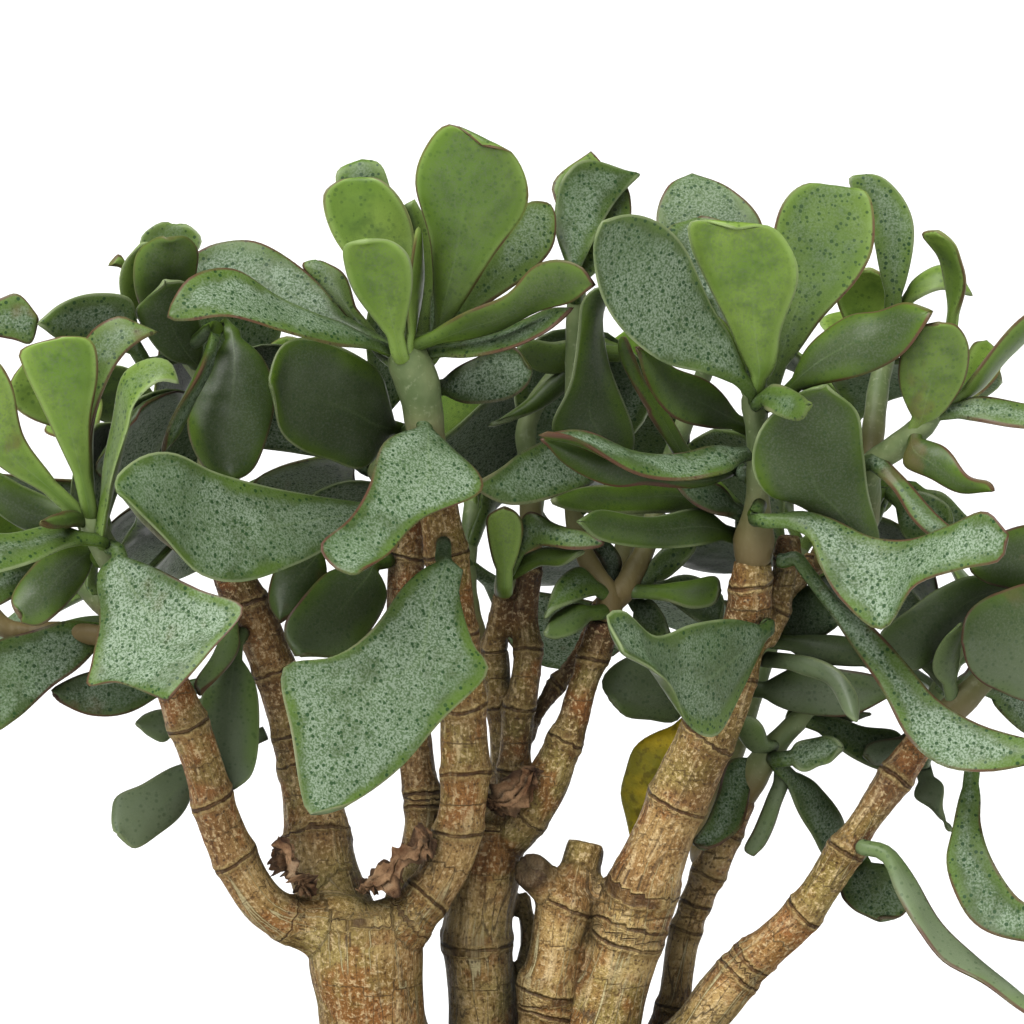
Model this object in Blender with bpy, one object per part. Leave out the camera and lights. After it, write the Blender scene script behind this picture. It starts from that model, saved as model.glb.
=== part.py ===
"""A jade plant grown as a bonsai, with wavy leaves, in a plain oval pot. Sizes are in millimetres until the
meshes are made, which are in metres, with Z up and the pot standing on Z = 0."""

import math
import random

import bmesh
import bpy
from mathutils import Quaternion, Vector
from mathutils.bvhtree import BVHTree

MM = 0.001
# The middle of the pot in the photo's frame. Everything is moved so that it stands over the origin.
CENTRE_X = 5.69
CENTRE_Y = 9.43

# Leaves: flesh in the middle and at the edge, how much thinner the youngest ones and the tips are, the
# stalk's width, and how much farther apart in depth the two ends lie than they were first read.
LEAF_THICK = 2.6
EDGE_THICK = 0.9
YOUNG_THINNER = 0.15
TIP_THINNER = 0.25
PETIOLE = 3.4
SPREAD = 1.3
# The gaps kept between leaves, and between a shoot's foot and the bark.
CLEARANCE = 0.28
STEM_GAP = 0.45
ROOT_GAP = 0.7
# How much the leaf-scar rings swell the wood.
RING_SWELL = 1.09
# Steps along a leaf where its edges are sampled, steps from edge to edge in the solids, sides of the stems
# there, and steps of a curve between two of its points.
EDGE_STEPS = 5
LEAF_STEPS = 2
WOOD_SIDES = 7
STEM_SIDES = 5
CURVE_STEPS = 8
# Rings of a leaf's solid that may touch leaves on the same shoot, as they all meet at its stem.
MEETING_RINGS = 3
# Lengths of a crossed pair's leaves from the tip down, how far they open, and how young they are.
PAIR_LENGTHS = (22, 33, 40)
PAIR_ANGLES = (38, 62, 84)
PAIR_YOUTH = (0.9, 0.55, 0.25)
PAIR_STEP = 7.5

# The pot: outside at the rim, wall, floor and feet. Its outline is an oval squared a little by POT_CORNER.
POT_LENGTH = 190.0
POT_WIDTH = 140.0
POT_HEIGHT = 68.0
POT_WALL = 6.0
POT_FOOT = 6.0
POT_FLOOR = 7.0
POT_CORNER = 2.7
POT_TAPER = 9.0
POT_POINTS = 26
LIP_HEIGHT = 11.0
FOOT_BLOCK = 9.0
FOOT_LENGTH = 30.0
FOOT_WIDTH = 16.0
FOOT_PLACE = 0.27
DRAIN_RADIUS = 8.0
DRAIN_PLACE = 0.2
DRAIN_SIDES = 16
# The earth: its level at the pot's wall, how it rises to the middle, and its gap to the pot and the stems.
SOIL_LEVEL = 61.0
SOIL_GAP = 0.35
SOIL_RISE = ((3, -1.0), (30, 0.6), (80, 1.4))
ROOTED = ("A", "B", "C", "Cback", "D", "E", "F")

# Faces that lie flatter than this to each other are joined, and loose pieces smaller than this are dropped.
FLAT = math.radians(3.5)
SCRAP = 4.0


# The photo's camera: the point it looks at, how far down it looks, how far it is, and half its picture.
LOOK_AT = (0.0, 0.0, 194.0)
PITCH = math.radians(7.0)
FAR = 1150.0
PICTURE_MIDDLE = 102.4


def seen(x, z, y):
    """The point at depth y that the camera sees at picture place x, z."""
    aim = Vector((0, math.cos(PITCH), -math.sin(PITCH)))
    up = Vector((0, math.sin(PITCH), math.cos(PITCH)))
    eye = Vector(LOOK_AT) - aim * FAR
    ray = aim * FAR + Vector((x, 0, 0)) + up * (z - PICTURE_MIDDLE)
    return eye + ray * ((y - eye.y) / ray.y)


def curve_through(points, count):
    """Evenly spread points on a smooth curve through the given ones, by Catmull-Rom."""
    points = [Vector(p) for p in points]
    ends = [2 * points[0] - points[1]] + points + [2 * points[-1] - points[-2]]
    fine = []
    for i in range(1, len(ends) - 2):
        a, b, c, d = ends[i - 1:i + 3]
        for step in range(CURVE_STEPS):
            t = step / CURVE_STEPS
            fine.append(0.5 * (2 * b + (c - a) * t + (2 * a - 5 * b + 4 * c - d) * t * t
                               + (3 * b - a - 3 * c + d) * t ** 3))
    fine.append(points[-1])
    lengths = [0.0]
    for a, b in zip(fine, fine[1:]):
        lengths.append(lengths[-1] + (b - a).length)
    out, k = [], 0
    for i in range(count + 1):
        want = lengths[-1] * i / count
        while k < len(fine) - 2 and lengths[k + 1] < want:
            k += 1
        span = lengths[k + 1] - lengths[k]
        out.append(fine[k].lerp(fine[k + 1], (want - lengths[k]) / span if span else 0))
    return out


class Leaf:
    """A fleshy leaf between two edge curves. It is swung about its base in depth to clear its neighbours."""

    def __init__(self, shoot, side, youth, base_y, tip_y, tilt, base, first, second, tip, number):
        """A leaf from one row of the table, with a wave and a dish of its own."""
        self.shoot, self.side, self.youth, self.number = shoot, side, youth, number
        self.depths = [base_y, base_y + (tip_y - base_y) * SPREAD, tilt]
        self.base, self.tip = base, tip
        self.edges = (first, second)
        self.root = None
        rng = random.Random(number)
        self.wave = rng.uniform(0.5, 1.3) * (1.1 - 0.9 * youth)
        self.wave_turns = rng.uniform(0.8, 1.5)
        self.phase = (rng.uniform(0, math.tau), rng.uniform(0, math.tau))
        self.dish = rng.uniform(0.02, 0.09)

    def edge_curves(self, count):
        """The two edges as evenly spread points in space, from the base to the tip."""
        base_y, tip_y, tilt = self.depths
        curves = []
        for sign, places in ((1, self.edges[0]), (-1, self.edges[1])):
            flat = list(zip(places[::2], places[1::2]))
            line = [self.base] + flat + [self.tip]
            run = [0.0]
            for a, b in zip(line, line[1:]):
                run.append(run[-1] + math.dist(a, b))
            points = []
            for (x, z), far in zip(line, run):
                u = far / run[-1]
                y = base_y + (tip_y - base_y) * u + sign * tilt * math.sin(math.pi * u) ** 0.7
                points.append(seen(x, z, y))
            curves.append(curve_through(points, count))
        return curves

    def surface(self, along, across):
        """Rows of (point, normal towards the upper side, u, v), from the base to the tip. across is how many
        steps there are from edge to edge, or a list of the v values, from -1 to 1."""
        stations = across if isinstance(across, list) else [2 * j / across - 1 for j in range(across + 1)]
        first, second = self.edge_curves(along)
        middle = [(a + b) / 2 for a, b in zip(first, second)]
        sides = [a - b for a, b in zip(first, second)]
        wide = next(i for i in range(along + 1) if sides[i].length > PETIOLE or i == along // 2)
        for i in range(wide):
            sides[i] = sides[wide].normalized() * PETIOLE
        sides[-1] = sides[-2] * 0.01
        ahead = [(middle[min(i + 1, along)] - middle[max(i - 1, 0)]).normalized() for i in range(along + 1)]
        normals = [a.cross(s).normalized() for a, s in zip(ahead, sides)]
        normals[-1] = normals[-2]
        to_viewer = sum(-n.y * s.length for n, s in zip(normals, sides))
        turn = 1 if (to_viewer > 0) == (self.side == "top") else -1
        rows = []
        for i in range(along + 1):
            u, wide = i / along, sides[i].length
            held = min(u * 4, 1) * (1 if i < along else 0)
            row = []
            for v in stations:
                normal = normals[i] * turn
                lift = self.dish * wide * (v * v - 0.4)
                swing = math.tau * self.wave_turns * u + self.phase[v > 0]
                lift += self.wave * held * abs(v) ** 1.6 * math.sin(swing)
                row.append((middle[i] + sides[i] * (v / 2) + normal * lift * held, normal, u, v))
            rows.append(row)
        return rows


def outward(points, faces):
    """The same solid with its faces turned to look outwards."""
    volume = sum(points[a].dot(points[b].cross(points[c])) for a, b, c in faces)
    return points, faces if volume > 0 else [face[::-1] for face in faces]


def leaf_solid(leaf, along, across, extra=0.0):
    """Corner points and faces of a leaf as a closed solid, with its stalk run to leaf.root if it has one."""
    rows = leaf.surface(along, across)
    points, faces = [], []

    def half(u, v):
        """Half the thickness at a place on the leaf."""
        flesh = LEAF_THICK * (1 - YOUNG_THINNER * leaf.youth) * (1 - TIP_THINNER * u)
        return (EDGE_THICK + (flesh - EDGE_THICK) * (1 - v * v) * min(1, 6 * (1 - u))) / 2 + extra

    rings = []
    base, normal = (rows[0][0][0] + rows[0][-1][0]) / 2, rows[0][0][1]
    side = (rows[0][-1][0] - rows[0][0][0]).normalized()
    blade = (sum((p for p, n, u, v in rows[1]), Vector()) / (across + 1) - base).normalized()
    if leaf.root is not None and (base - leaf.root).length > 0.6:
        stalk = (base - leaf.root).normalized()
        hand = 1 if side.cross(blade).dot(normal) > 0 else -1
        for at, ahead, size in ((leaf.root, stalk, 0.84), (base, (stalk + blade).normalized(), 1.0)):
            across_ring = (side - ahead * side.dot(ahead)).normalized()
            up = across_ring.cross(ahead).normalized() * hand
            rings.append([[at + across_ring * (PETIOLE * size * (j / across - 0.5))
                           + up * face * half(0, 2 * j / across - 1) for j in range(across + 1)]
                          for face in (1, -1)])
        rows = rows[1:]
    for row in rows[:-1]:
        rings.append([[p + n * face * half(u, v) for p, n, u, v in row] for face in (1, -1)])
    index = []
    for ring in rings:
        start = len(points)
        points += ring[0] + ring[1]
        index.append(([start + j for j in range(across + 1)],
                      [start + across + 1 + j for j in range(across + 1)]))
    tip_at, tip_normal = rows[-1][across // 2][:2]
    tip_top = len(points)
    points += [tip_at + tip_normal * half(1, 0), tip_at - tip_normal * half(1, 0)]

    def quad(a, b, c, d):
        """Two triangles for the face a, b, c, d."""
        faces.append((a, b, c))
        faces.append((a, c, d))

    for (top, low), (top_next, low_next) in zip(index, index[1:]):
        for j in range(across):
            quad(top[j], top[j + 1], top_next[j + 1], top_next[j])
            quad(low[j + 1], low[j], low_next[j], low_next[j + 1])
        quad(low[0], top[0], top_next[0], low_next[0])
        quad(top[-1], low[-1], low_next[-1], top_next[-1])
    top, low = index[-1]
    for j in range(across):
        faces.append((top[j], top[j + 1], tip_top))
        faces.append((low[j + 1], low[j], tip_top + 1))
    faces.append((low[0], top[0], tip_top))
    faces.append((low[0], tip_top, tip_top + 1))
    faces.append((top[-1], low[-1], tip_top + 1))
    faces.append((top[-1], tip_top + 1, tip_top))
    top, low = index[0]
    for j in range(across):
        quad(top[j + 1], top[j], low[j], low[j + 1])
    return outward(points, faces)


def tube_solid(line, radii, sides):
    """A stem: rings of points around a line, each carried on from the last so that none is twisted."""
    points, faces = [], []
    across = Vector((0, 1, 0.2))
    for i, (at, radius) in enumerate(zip(line, radii)):
        ahead = (line[min(i + 1, len(line) - 1)] - line[max(i - 1, 0)]).normalized()
        across = (across - ahead * across.dot(ahead)).normalized()
        other = ahead.cross(across)
        for k in range(sides):
            turn = math.tau * k / sides
            points.append(at + (across * math.cos(turn) + other * math.sin(turn)) * radius)
    for i in range(len(line) - 1):
        for k in range(sides):
            a, b = i * sides + k, i * sides + (k + 1) % sides
            faces.append((a, b, b + sides))
            faces.append((a, b + sides, a + sides))
    end = len(points)
    points += [line[0], line[-1]]
    last = (len(line) - 1) * sides
    for k in range(sides):
        faces.append((end, (k + 1) % sides, k))
        faces.append((end + 1, last + k, last + (k + 1) % sides))
    return outward(points, faces)


# Leaves whose two edges can be read in the photo. Each row: shoot, side that faces the viewer,
# youth 0..1, depth of base and tip, how much farther the first edge lies than the second,
# base, first edge, second edge, tip. Picture millimetres: x to the right, z above the photo's lower edge.
SEEN = [
    ("shoot_centre_left", "top", 0.3, -20, -40, 5, (-24, 134.5), (-35, 140.5, -47, 146, -56, 150.3, -64,
     149, -68, 144.5), (-34, 136, -47, 137.8, -57, 141, -64, 141), (-69, 141.3)),
    ("shoot_centre_left", "under", 0.9, -24, -31, 0, (-22.6, 134.5), (-27, 140, -31.5, 146, -33.4, 151,
     -33.5, 155.5), (-21, 141, -19.8, 148, -20.6, 153.5, -24, 156.5), (-29, 156.8)),
    ("shoot_centre_left", "top", 0.9, -13, -7, 0, (-22, 137), (-28, 147, -35.5, 157, -37.8, 165, -35,
     168.3), (-19.5, 146, -19.6, 158, -22, 164.5, -26, 168.5), (-30.5, 169.3)),
    ("shoot_centre_left", "top", 0.6, -6, 3, 0, (-23, 140), (-31, 156, -35.3, 169.5), (-22, 157, -24.6,
     168, -26.5, 172), (-30, 173)),
    ("shoot_centre_left", "under", 0.7, -17, -24, 2, (-15, 136), (-15.8, 146, -16.6, 157, -19.4, 168,
     -17.3, 175.5, -12.5, 180), (-9, 145, -3.3, 154, 2.4, 162, 3, 168, 0, 173.8), (-6, 175.6)),
    ("shoot_centre_left", "top", 0.6, -12, 0, 0, (-14, 138), (-8, 149, -1, 160, 3.2, 164.2), (-4, 144.5,
     3, 149.5, 8, 155, 8.8, 160.5), (7.8, 163.9)),
    ("shoot_centre_left", "under", 0.5, -21, -36, -3, (-20, 135.5), (-10, 142.5, -1, 146, 4, 151, 9,
     152.6, 14, 151.4), (-10, 137, -2, 138.5, 6, 142.4, 12, 144.5), (16.8, 147.8)),
    ("shoot_centre_left", "top", 0.4, -18, -30, 4, (-18, 134), (-8, 137.6, 0, 140, 7, 143.2), (-8, 133.4,
     0, 134.6, 7, 138), (12.4, 143.3)),
    ("shoot_centre_left", "under", 1, -22, -24, -5, (-20.6, 135.5), (-20.9, 144, -20.2, 152, -19.2, 158),
     (-18.6, 143, -17.6, 150, -18, 156.5), (-18.7, 159.5)),
    ("shoot_centre_left", "top", 0.8, -9, -7, 0, (-18, 138), (-21, 150, -22.5, 162), (-15, 150, -17,
     160), (-19.5, 165)),
    ("shoot_centre_left", "top", 0.3, -10, -14, 2, (-16, 127), (-9, 132.5, 0, 135.5), (-9, 124, -1,
     124.5, 3, 127.5), (4, 131)),
    ("shoot_centre_left", "top", 0.2, -21, -46, -4, (-17.5, 119.5), (-25.5, 116.5, -29, 107, -33, 100.5,
     -38.5, 95.5, -36, 91.5), (-12.5, 115.5, -6.3, 106.2, -18, 101, -24.5, 94), (-31, 89.8)),
    ("shoot_centre_left", "under", 0.1, 0, -16, 0, (-23.5, 119), (-25.5, 129, -31, 133.8, -39, 137, -45,
     136), (-29.5, 111.2, -36, 112.6, -42.5, 115, -47, 119.5), (-48.6, 128)),
    ("leaf_3", "top", 0, -20, -44, -5, (-13.5, 92.3), (-17, 91.5, -22, 87.3, -29, 78, -36, 73.4, -46, 71,
     -44, 58, -41.2, 42.4), (-9.8, 91, -10.5, 86, -8, 76, -5.3, 70, -14, 61, -22, 51.5, -30, 45.4), (-36,
     43.2)),
    ("shoot_centre_right", "under", 0.9, -26, -32, 0, (49, 127.5), (45.5, 134, 43, 140, 38, 150, 35.6,
     156, 36, 160.5), (52.5, 131, 54, 139, 57.2, 148, 56.3, 154, 52, 159.3), (45, 159)),
    ("shoot_centre_right", "top", 0.7, -16, -8, 0, (52, 128), (51, 140, 51.3, 152, 53.5, 163, 58.5, 168),
     (57, 134, 62, 141, 69, 148.8, 72.2, 156, 71.3, 165.5), (65, 167)),
    ("shoot_centre_right", "top", 0.5, -8, 8, 0, (44.5, 140), (34, 148, 29, 159, 31, 167), (50, 150, 50,
     160, 44, 166.5), (36, 170.2)),
    ("shoot_centre_right", "top", 0.3, -13, -6, 0, (42, 142), (33, 150, 31, 158), (47, 152, 47, 158.6,
     42, 160.2), (37, 161.3)),
    ("shoot_centre_right", "top", 0.3, -26, -44, 4, (48, 126.5), (44, 136.5, 40, 143.5, 34.5, 155, 29,
     160.4, 23, 162.2), (39, 130, 30, 132.4, 21.5, 139, 17, 146.5, 16, 155), (18, 160.6)),
    ("shoot_centre_right", "under", 0.3, -24, -33, 3, (55, 126), (57.3, 132, 61, 137.5, 67, 142, 73,
     142.8, 79, 144.3), (62, 127.7, 70, 130, 78, 134, 82.5, 139), (84.3, 142.6)),
    ("shoot_centre_right", "top", 0.4, -27, -42, 4, (49.5, 124.5), (51.5, 127.3, 56, 127), (52, 122, 57,
     121), (60, 124)),
    ("shoot_centre_right", "under", 0.9, -21, -18, 0, (47, 128), (41.5, 135, 37.6, 141), (47, 134, 43.5,
     139.5), (40.5, 142)),
    ("shoot_right_crown", "under", 0.1, -22, -32, 0, (72.5, 92), (65, 98, 57.5, 103, 51, 105.5, 48, 112,
     50, 120, 57, 126.6), (73.6, 97, 71.6, 105, 70.3, 115, 69, 123), (63, 128)),
    ("shoot_centre_right", "top", 0.2, -20, -42, 4, (48.5, 114.5), (41, 115.5, 34, 114.2, 24, 115.2, 14,
     117.6), (43, 110, 36, 108.2, 28, 109.6, 19, 113.3, 12, 116.3), (5.2, 117.8)),
    ("shoot_centre_right", "under", 0.1, -14, -38, 0, (44, 111), (34, 110, 24, 112, 12, 116), (38, 107.6,
     28, 108.3, 20, 107.5, 12, 111), (5.5, 117)),
    ("shoot_inner", "top", 0.3, 2, 14, 0, (12.5, 148), (8.8, 158, 9, 166, 11, 170.5, 15, 172.6), (15,
     154, 18, 160, 21.5, 165.5), (25.7, 170)),
    ("shoot_inner", "top", 0.7, 10, 22, 0, (14, 150), (9, 163, 8.4, 168.5), (20, 160, 19, 170), (15.8,
     174.6)),
    ("shoot_inner", "top", 0.6, 8, 18, 0, (14, 150), (16, 158, 20, 166), (20, 152, 23.6, 160, 23.7, 165),
     (22.5, 168)),
    ("shoot_inner", "under", 0.2, 4, -10, -3, (20, 107), (10.5, 116, 8, 120, 11.3, 128, 13, 138, 13.8,
     144), (24, 114, 24, 120, 20, 131, 18.6, 141, 20, 147), (16.5, 147.2)),
    ("shoot_inner", "top", 0.1, 0, -20, 3, (20, 111), (10, 117, 3, 115, -3, 110.8), (14, 107, 6, 104.4,
     -1, 104.1), (-8, 107.8)),
    ("shoot_left", "top", 0, -34, -52, 3, (-78.5, 93.5), (-83, 90, -82.5, 80, -83.5, 72, -84, 66.6, -78,
     67.6), (-72, 91.5, -62, 86.6, -53.6, 83.2, -60, 75.5), (-68.7, 64.6)),
    ("leaf_7", "top", 0, -10, -44, 5, (-20, 103), (-40, 105.8, -50, 107.5, -60, 110.2, -68, 114, -74,
     113.6, -79, 109.8), (-35, 96, -43, 92, -54, 88.4, -63, 90, -70, 97, -76, 103), (-79.2, 106.5)),
    ("shoot_left", "under", 0.9, -32, -36, 0, (-84.6, 103.5), (-90, 114.5, -94, 123, -98, 131.5, -98,
     135), (-84.2, 112, -84.2, 121, -82.8, 130, -84, 136.4), (-90, 137.6)),
    ("shoot_left", "top", 0.6, -27, -24, 3, (-84.5, 104.5), (-86.5, 118, -87, 130, -84.5, 137.5, -79,
     141.2, -75, 140), (-83.5, 118, -81, 128, -78, 133.5, -74, 136.8), (-70.6, 138.4)),
    ("shoot_left", "top", 0.7, -33, -36, 4, (-82.4, 98.5), (-81.6, 108, -79.5, 120, -78, 129.5, -73, 133,
     -68.5, 132.4), (-79.5, 108, -76.8, 118, -75.5, 124, -71, 128.3), (-66.5, 128)),
    ("shoot_left", "under", 0.8, -31, -34, 0, (-87, 102.3), (-95, 107, -102, 111, -110, 118, -113, 125),
     (-91.5, 109, -97.6, 117.5, -100, 128, -104, 133.5), (-109.5, 133)),
    ("shoot_left", "top", 0.3, -34, -50, 4, (-82.8, 96.8), (-90, 99.2, -100, 98.3, -108, 98), (-89, 94.9,
     -97, 92, -106, 89.5), (-113, 92.5)),
    ("shoot_right_crown", "under", 0.7, -27, -33, 0, (81, 119.5), (77.5, 127, 77.8, 134, 81, 139.2), (86,
     122, 90.4, 128, 91.5, 134.5, 89.4, 139), (85.5, 140.4)),
    ("shoot_right_crown", "top", 0.5, -26, -30, 2, (85, 122.2), (93, 125.2, 102, 124.4, 110, 122.5), (92,
     120.6, 100, 118.9, 108, 119), (114, 120.6)),
    ("shoot_right_crown", "under", 0.6, -25, -28, -4, (88.5, 124.5), (93, 131, 98, 137, 103, 141.5), (94,
     127, 99, 133, 105, 138.8), (109, 145)),
    ("shoot_right_crown", "top", 0.9, -14, -4, 0, (88.5, 124.5), (90, 131, 92, 135.8), (93, 125.4, 97.4,
     130, 97, 134), (95, 136.7)),
    ("shoot_right_crown", "under", 0.4, -27, -38, -2, (80.5, 117.5), (86, 115.6, 91, 110, 95.5, 108.6),
     (78, 112, 84, 108.9, 90, 106.2), (96.6, 106.6)),
    ("shoot_right_crown", "top", 0.5, 0, 6, 0, (76, 141), (73.6, 150, 71.5, 160, 67.3, 168.6), (79, 149,
     80.5, 158, 79, 164, 75, 168.7), (71, 170)),
    ("shoot_right_crown", "top", 0.9, -6, -10, 3, (87.8, 138), (86.8, 147, 85.5, 153.5, 82, 158), (90.8,
     147, 90, 153, 88.6, 156.5), (85, 158.8)),
    ("shoot_right_crown", "top", 0.9, 4, 2, 2, (78, 143), (80, 148.5, 85, 151.8, 89, 150.5), (81.5, 145,
     86, 146.8, 90, 146), (92.2, 145.6)),
    ("shoot_centre_right", "top", 0.1, -16, -34, 4, (50, 100.6), (57, 102.6, 64, 101.3, 72, 97.6, 80, 97,
     88, 99.4, 95, 102.4), (59, 97.5, 61.5, 91.5, 66, 84.5, 74, 78.9, 80, 87.6, 90, 90.8, 98, 92.6),
     (99.4, 98)),
    ("leaf_9", "top", 0.2, -18, -38, 2, (57.5, 92.5), (66, 84, 72, 79, 79, 71.5, 85, 65, 93, 60.3, 102,
     57.6, 108, 56.5), (61, 86.5, 68, 76, 74, 66.5, 79, 57, 86, 51.3, 95, 50.2, 104, 52), (112, 54)),
    ("leaf_10", "top", 0.1, -18, -50, -4, (51.5, 79.3), (44, 81, 36, 80, 28, 77.6, 21, 82.3, 18, 80.6),
     (48.5, 72, 44, 62, 40, 57.4, 34.5, 59.8, 30, 68), (22.4, 74.2)),
    ("leaf_11", "under", 0.2, -8, -20, 0, (50.5, 73), (58, 73.8, 65, 71.2, 69, 66), (57, 70.2, 63, 68,
     66.6, 62), (69, 60.3)),
    ("shoot_right_crown", "top", 0.4, -22, -34, 2, (70, 112), (73, 114.4, 78, 109.5, 84, 103), (76, 107,
     80, 101, 84.6, 97), (88.7, 98.6)),
    ("shoot_centre_left", "top", 0.3, 0, 10, 3, (-31, 138.5), (-40, 149.5, -50, 156.2, -58, 156.2, -63.6,
     153.5), (-45, 140, -57, 145, -64.3, 148), (-64.8, 151)),
    ("shoot_centre_left", "top", 0.6, 2, 8, 0, (-28, 137), (-36, 144, -42, 151.6), (-31, 143, -33.5,
     150), (-39, 152.7)),
    ("shoot_left_crown", "under", 0.5, 4, -3, 0, (-70, 138), (-74.5, 144, -75.8, 150, -74.5, 154.5),
     (-65, 144, -62.7, 153, -65, 157), (-69, 157.2)),
    ("shoot_left_crown", "top", 0.9, 9, 3, 0, (-72, 139), (-77, 143, -78.6, 148, -77.6, 152.4), (-71,
     148, -71, 155.4), (-74, 156.3)),
    ("shoot_left_crown", "top", 0.6, 12, 16, 0, (-70, 141), (-73, 150, -74.4, 156.4, -71.5, 159.4), (-66,
     150, -62, 156, -64, 159), (-67.6, 159.9)),
    ("shoot_left_crown", "top", 0.9, 9, 7, 0, (-72, 144), (-76, 150, -78.5, 154), (-75, 147, -78, 151),
     (-80.8, 151.6)),
    ("shoot_left_crown", "under", 0.3, 1, -8, 0, (-62, 131), (-70, 134, -75, 141, -73.4, 144.5), (-62,
     139, -65, 147.6), (-69.5, 149)),
    ("shoot_left_crown", "top", 0.2, -2, -12, 0, (-74, 133), (-75, 141, -77, 145.6, -84, 146.4, -90,
     144.4), (-82, 136, -90, 136.6), (-95, 140)),
    ("shoot_far_left", "top", 0.5, -10, -12, 0, (-114, 136), (-108, 142, -102, 145.3, -98.5, 145.8),
     (-106, 137.6, -100, 137, -96, 136.2), (-94.6, 141)),
    ("shoot_left_crown", "under", 0.1, -2, -12, 0, (-56, 138.5), (-62, 130, -65, 120, -62, 112), (-49.5,
     133, -47.4, 124, -51, 112.5), (-56, 108.5)),
    ("shoot_left_crown", "top", 0.3, -12, -22, -5, (-59.5, 137), (-64, 129, -68, 120), (-60.6, 130, -65,
     121.5), (-70, 114.2)),
    ("leaf_17", "under", 0.1, 4, -4, 0, (-38, 95), (-46, 93, -48.7, 86), (-37, 89, -42, 83), (-46.5,
     80)),
    ("leaf_18", "under", 0, 3, -14, 0, (-28, 91.5), (-36, 91, -43, 84, -45.6, 79), (-24.6, 85.5, -30,
     76.4, -36, 72.8), (-42.5, 73.5)),
    ("shoot_small_centre", "under", 1, -8, -12, 0, (-1.5, 87.5), (-4, 93, -5.2, 100.5, -3.5, 102.6), (1,
     93, 2.3, 99, 1, 102.3), (-1.6, 103.5)),
    ("shoot_small_centre", "top", 0.5, -5, -16, 2, (0, 92), (3, 102.2, 9, 100, 15, 98.4), (5, 95.5, 12,
     94.7, 17, 95.2), (18.6, 96.4)),
    ("shoot_small_centre", "under", 0.5, -2, -10, 0, (0, 90.5), (5, 95, 10, 95), (5, 91.6, 10, 91.6),
     (14.6, 94.5)),
    ("shoot_inner", "top", 0.4, -2, -10, 2, (18.5, 86), (14, 91.5, 9, 88.4), (14, 85, 9, 82.8), (6.4,
     81)),
    ("shoot_inner", "under", 0.1, -4, -10, 2, (17.2, 82.3), (13, 84, 8.5, 82.3), (13, 78.2, 9, 77.2),
     (6.3, 78)),
    ("shoot_inner", "top", 0.3, 6, 10, 0, (20, 88), (15.5, 95.6, 12, 95), (22, 92, 19, 97), (14, 98)),
    ("shoot_inner", "under", 0.4, 0, -8, 2, (25.5, 86.5), (30, 87.5, 35, 88.8, 40, 89.8), (31, 84.6, 36,
     82.9, 40.6, 83.8), (41.7, 87)),
    ("shoot_inner", "top", 0.5, 3, 6, 0, (26, 88), (28, 93, 33, 97), (31, 89, 36, 94), (37, 97)),
    ("shoot_inner", "top", 0.2, 10, 6, 0, (25, 84), (24.5, 81, 27, 77), (28.5, 84.5, 31.5, 79), (31.3,
     77.2)),
    ("shoot_inner", "top", 0.2, 14, 12, 0, (27, 87), (32, 84, 38, 80), (35, 90, 42, 86), (42, 80)),
    ("shoot_centre_right", "under", 0, -6, -20, 2, (45, 97.5), (38, 103, 28, 101.6, 18, 103), (36, 95.4,
     26, 95.6, 17, 97), (12.8, 100.5)),
    ("shoot_centre_right", "under", 0.1, 6, -10, 2, (43, 103), (32, 108.2, 22, 107.6, 14, 107.5), (34,
     102.4, 22, 101.6, 13, 102.8), (7.6, 104.8)),
    ("shoot_centre_right", "top", 0.2, -13, -16, 2, (46.6, 101.5), (42, 107, 36, 109), (41, 101.6, 36,
     104.6), (31.4, 108.7)),
    ("shoot_centre_right", "under", 0.2, -10, -22, 2, (47.5, 119), (40, 128, 33, 131.3, 28, 135), (39,
     119.2, 32, 121.5, 27, 129), (24.6, 135.5)),
    ("shoot_centre_right", "under", 0.1, 4, -2, 0, (37, 111), (32, 120, 27, 128, 23, 137), (33, 114, 24,
     128, 21.5, 134), (21.8, 137.5)),
    ("shoot_inner_top", "under", 0.4, 14, 8, 0, (14.6, 134.4), (8, 129.6, 2, 124), (14, 130, 8, 124.3, 2,
     121.3), (-5, 119.5)),
    ("shoot_inner_top", "under", 0.6, 14, 10, 0, (22, 134), (13, 136.8, 8, 136.4, 3, 136.9), (14, 132, 9,
     130, 4, 131), (0.5, 134.6)),
    ("shoot_low_right", "under", 0.6, 0, -6, -2, (51.6, 55.4), (50, 60, 47.6, 61.8), (48, 54.4, 45.2,
     57.4), (45.2, 61)),
    ("shoot_low_right", "top", 0.4, 12, 10, 0, (50, 53), (43.6, 52.8, 41, 46, 38.5, 40, 36, 36), (48, 48,
     46, 40, 42, 36), (38.4, 35.4)),
    ("shoot_low_right", "under", 0.7, 2, 0, 0, (54, 49.5), (51, 45, 48.3, 39, 46.4, 35), (54.6, 47.5, 53,
     41, 50.8, 36), (48.4, 33.5)),
    ("shoot_low_right", "top", 0.4, 0, 6, 2, (53.5, 51.5), (59, 49.6, 62, 47, 66.5, 39.5), (56, 45, 59.6,
     38.5, 61.8, 34), (65, 33)),
    ("shoot_low_right", "top", 0.4, -3, -6, 2, (54.5, 53), (57.5, 56.3, 62, 57.7, 65.3, 56.7), (58, 50.4,
     61, 51.6, 64, 52.2), (66.3, 55.3)),
    ("shoot_low_right", "top", 0.5, 2, 6, 2, (58.5, 61), (64, 61.4, 70, 59.6, 77, 58.6), (63, 56.8, 69,
     52.8, 75, 50.6), (79.5, 54)),
    ("shoot_low_right", "under", 0.9, 6, 8, 0, (57, 62), (62, 64, 68, 63), (62, 60, 68, 60.4), (72, 62)),
    ("leaf_23", "under", 0.1, 6, 0, 0, (81, 58), (77, 57.4, 72, 56.2), (77, 53, 72.5, 51.7), (70.2,
     53.8)),
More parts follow.
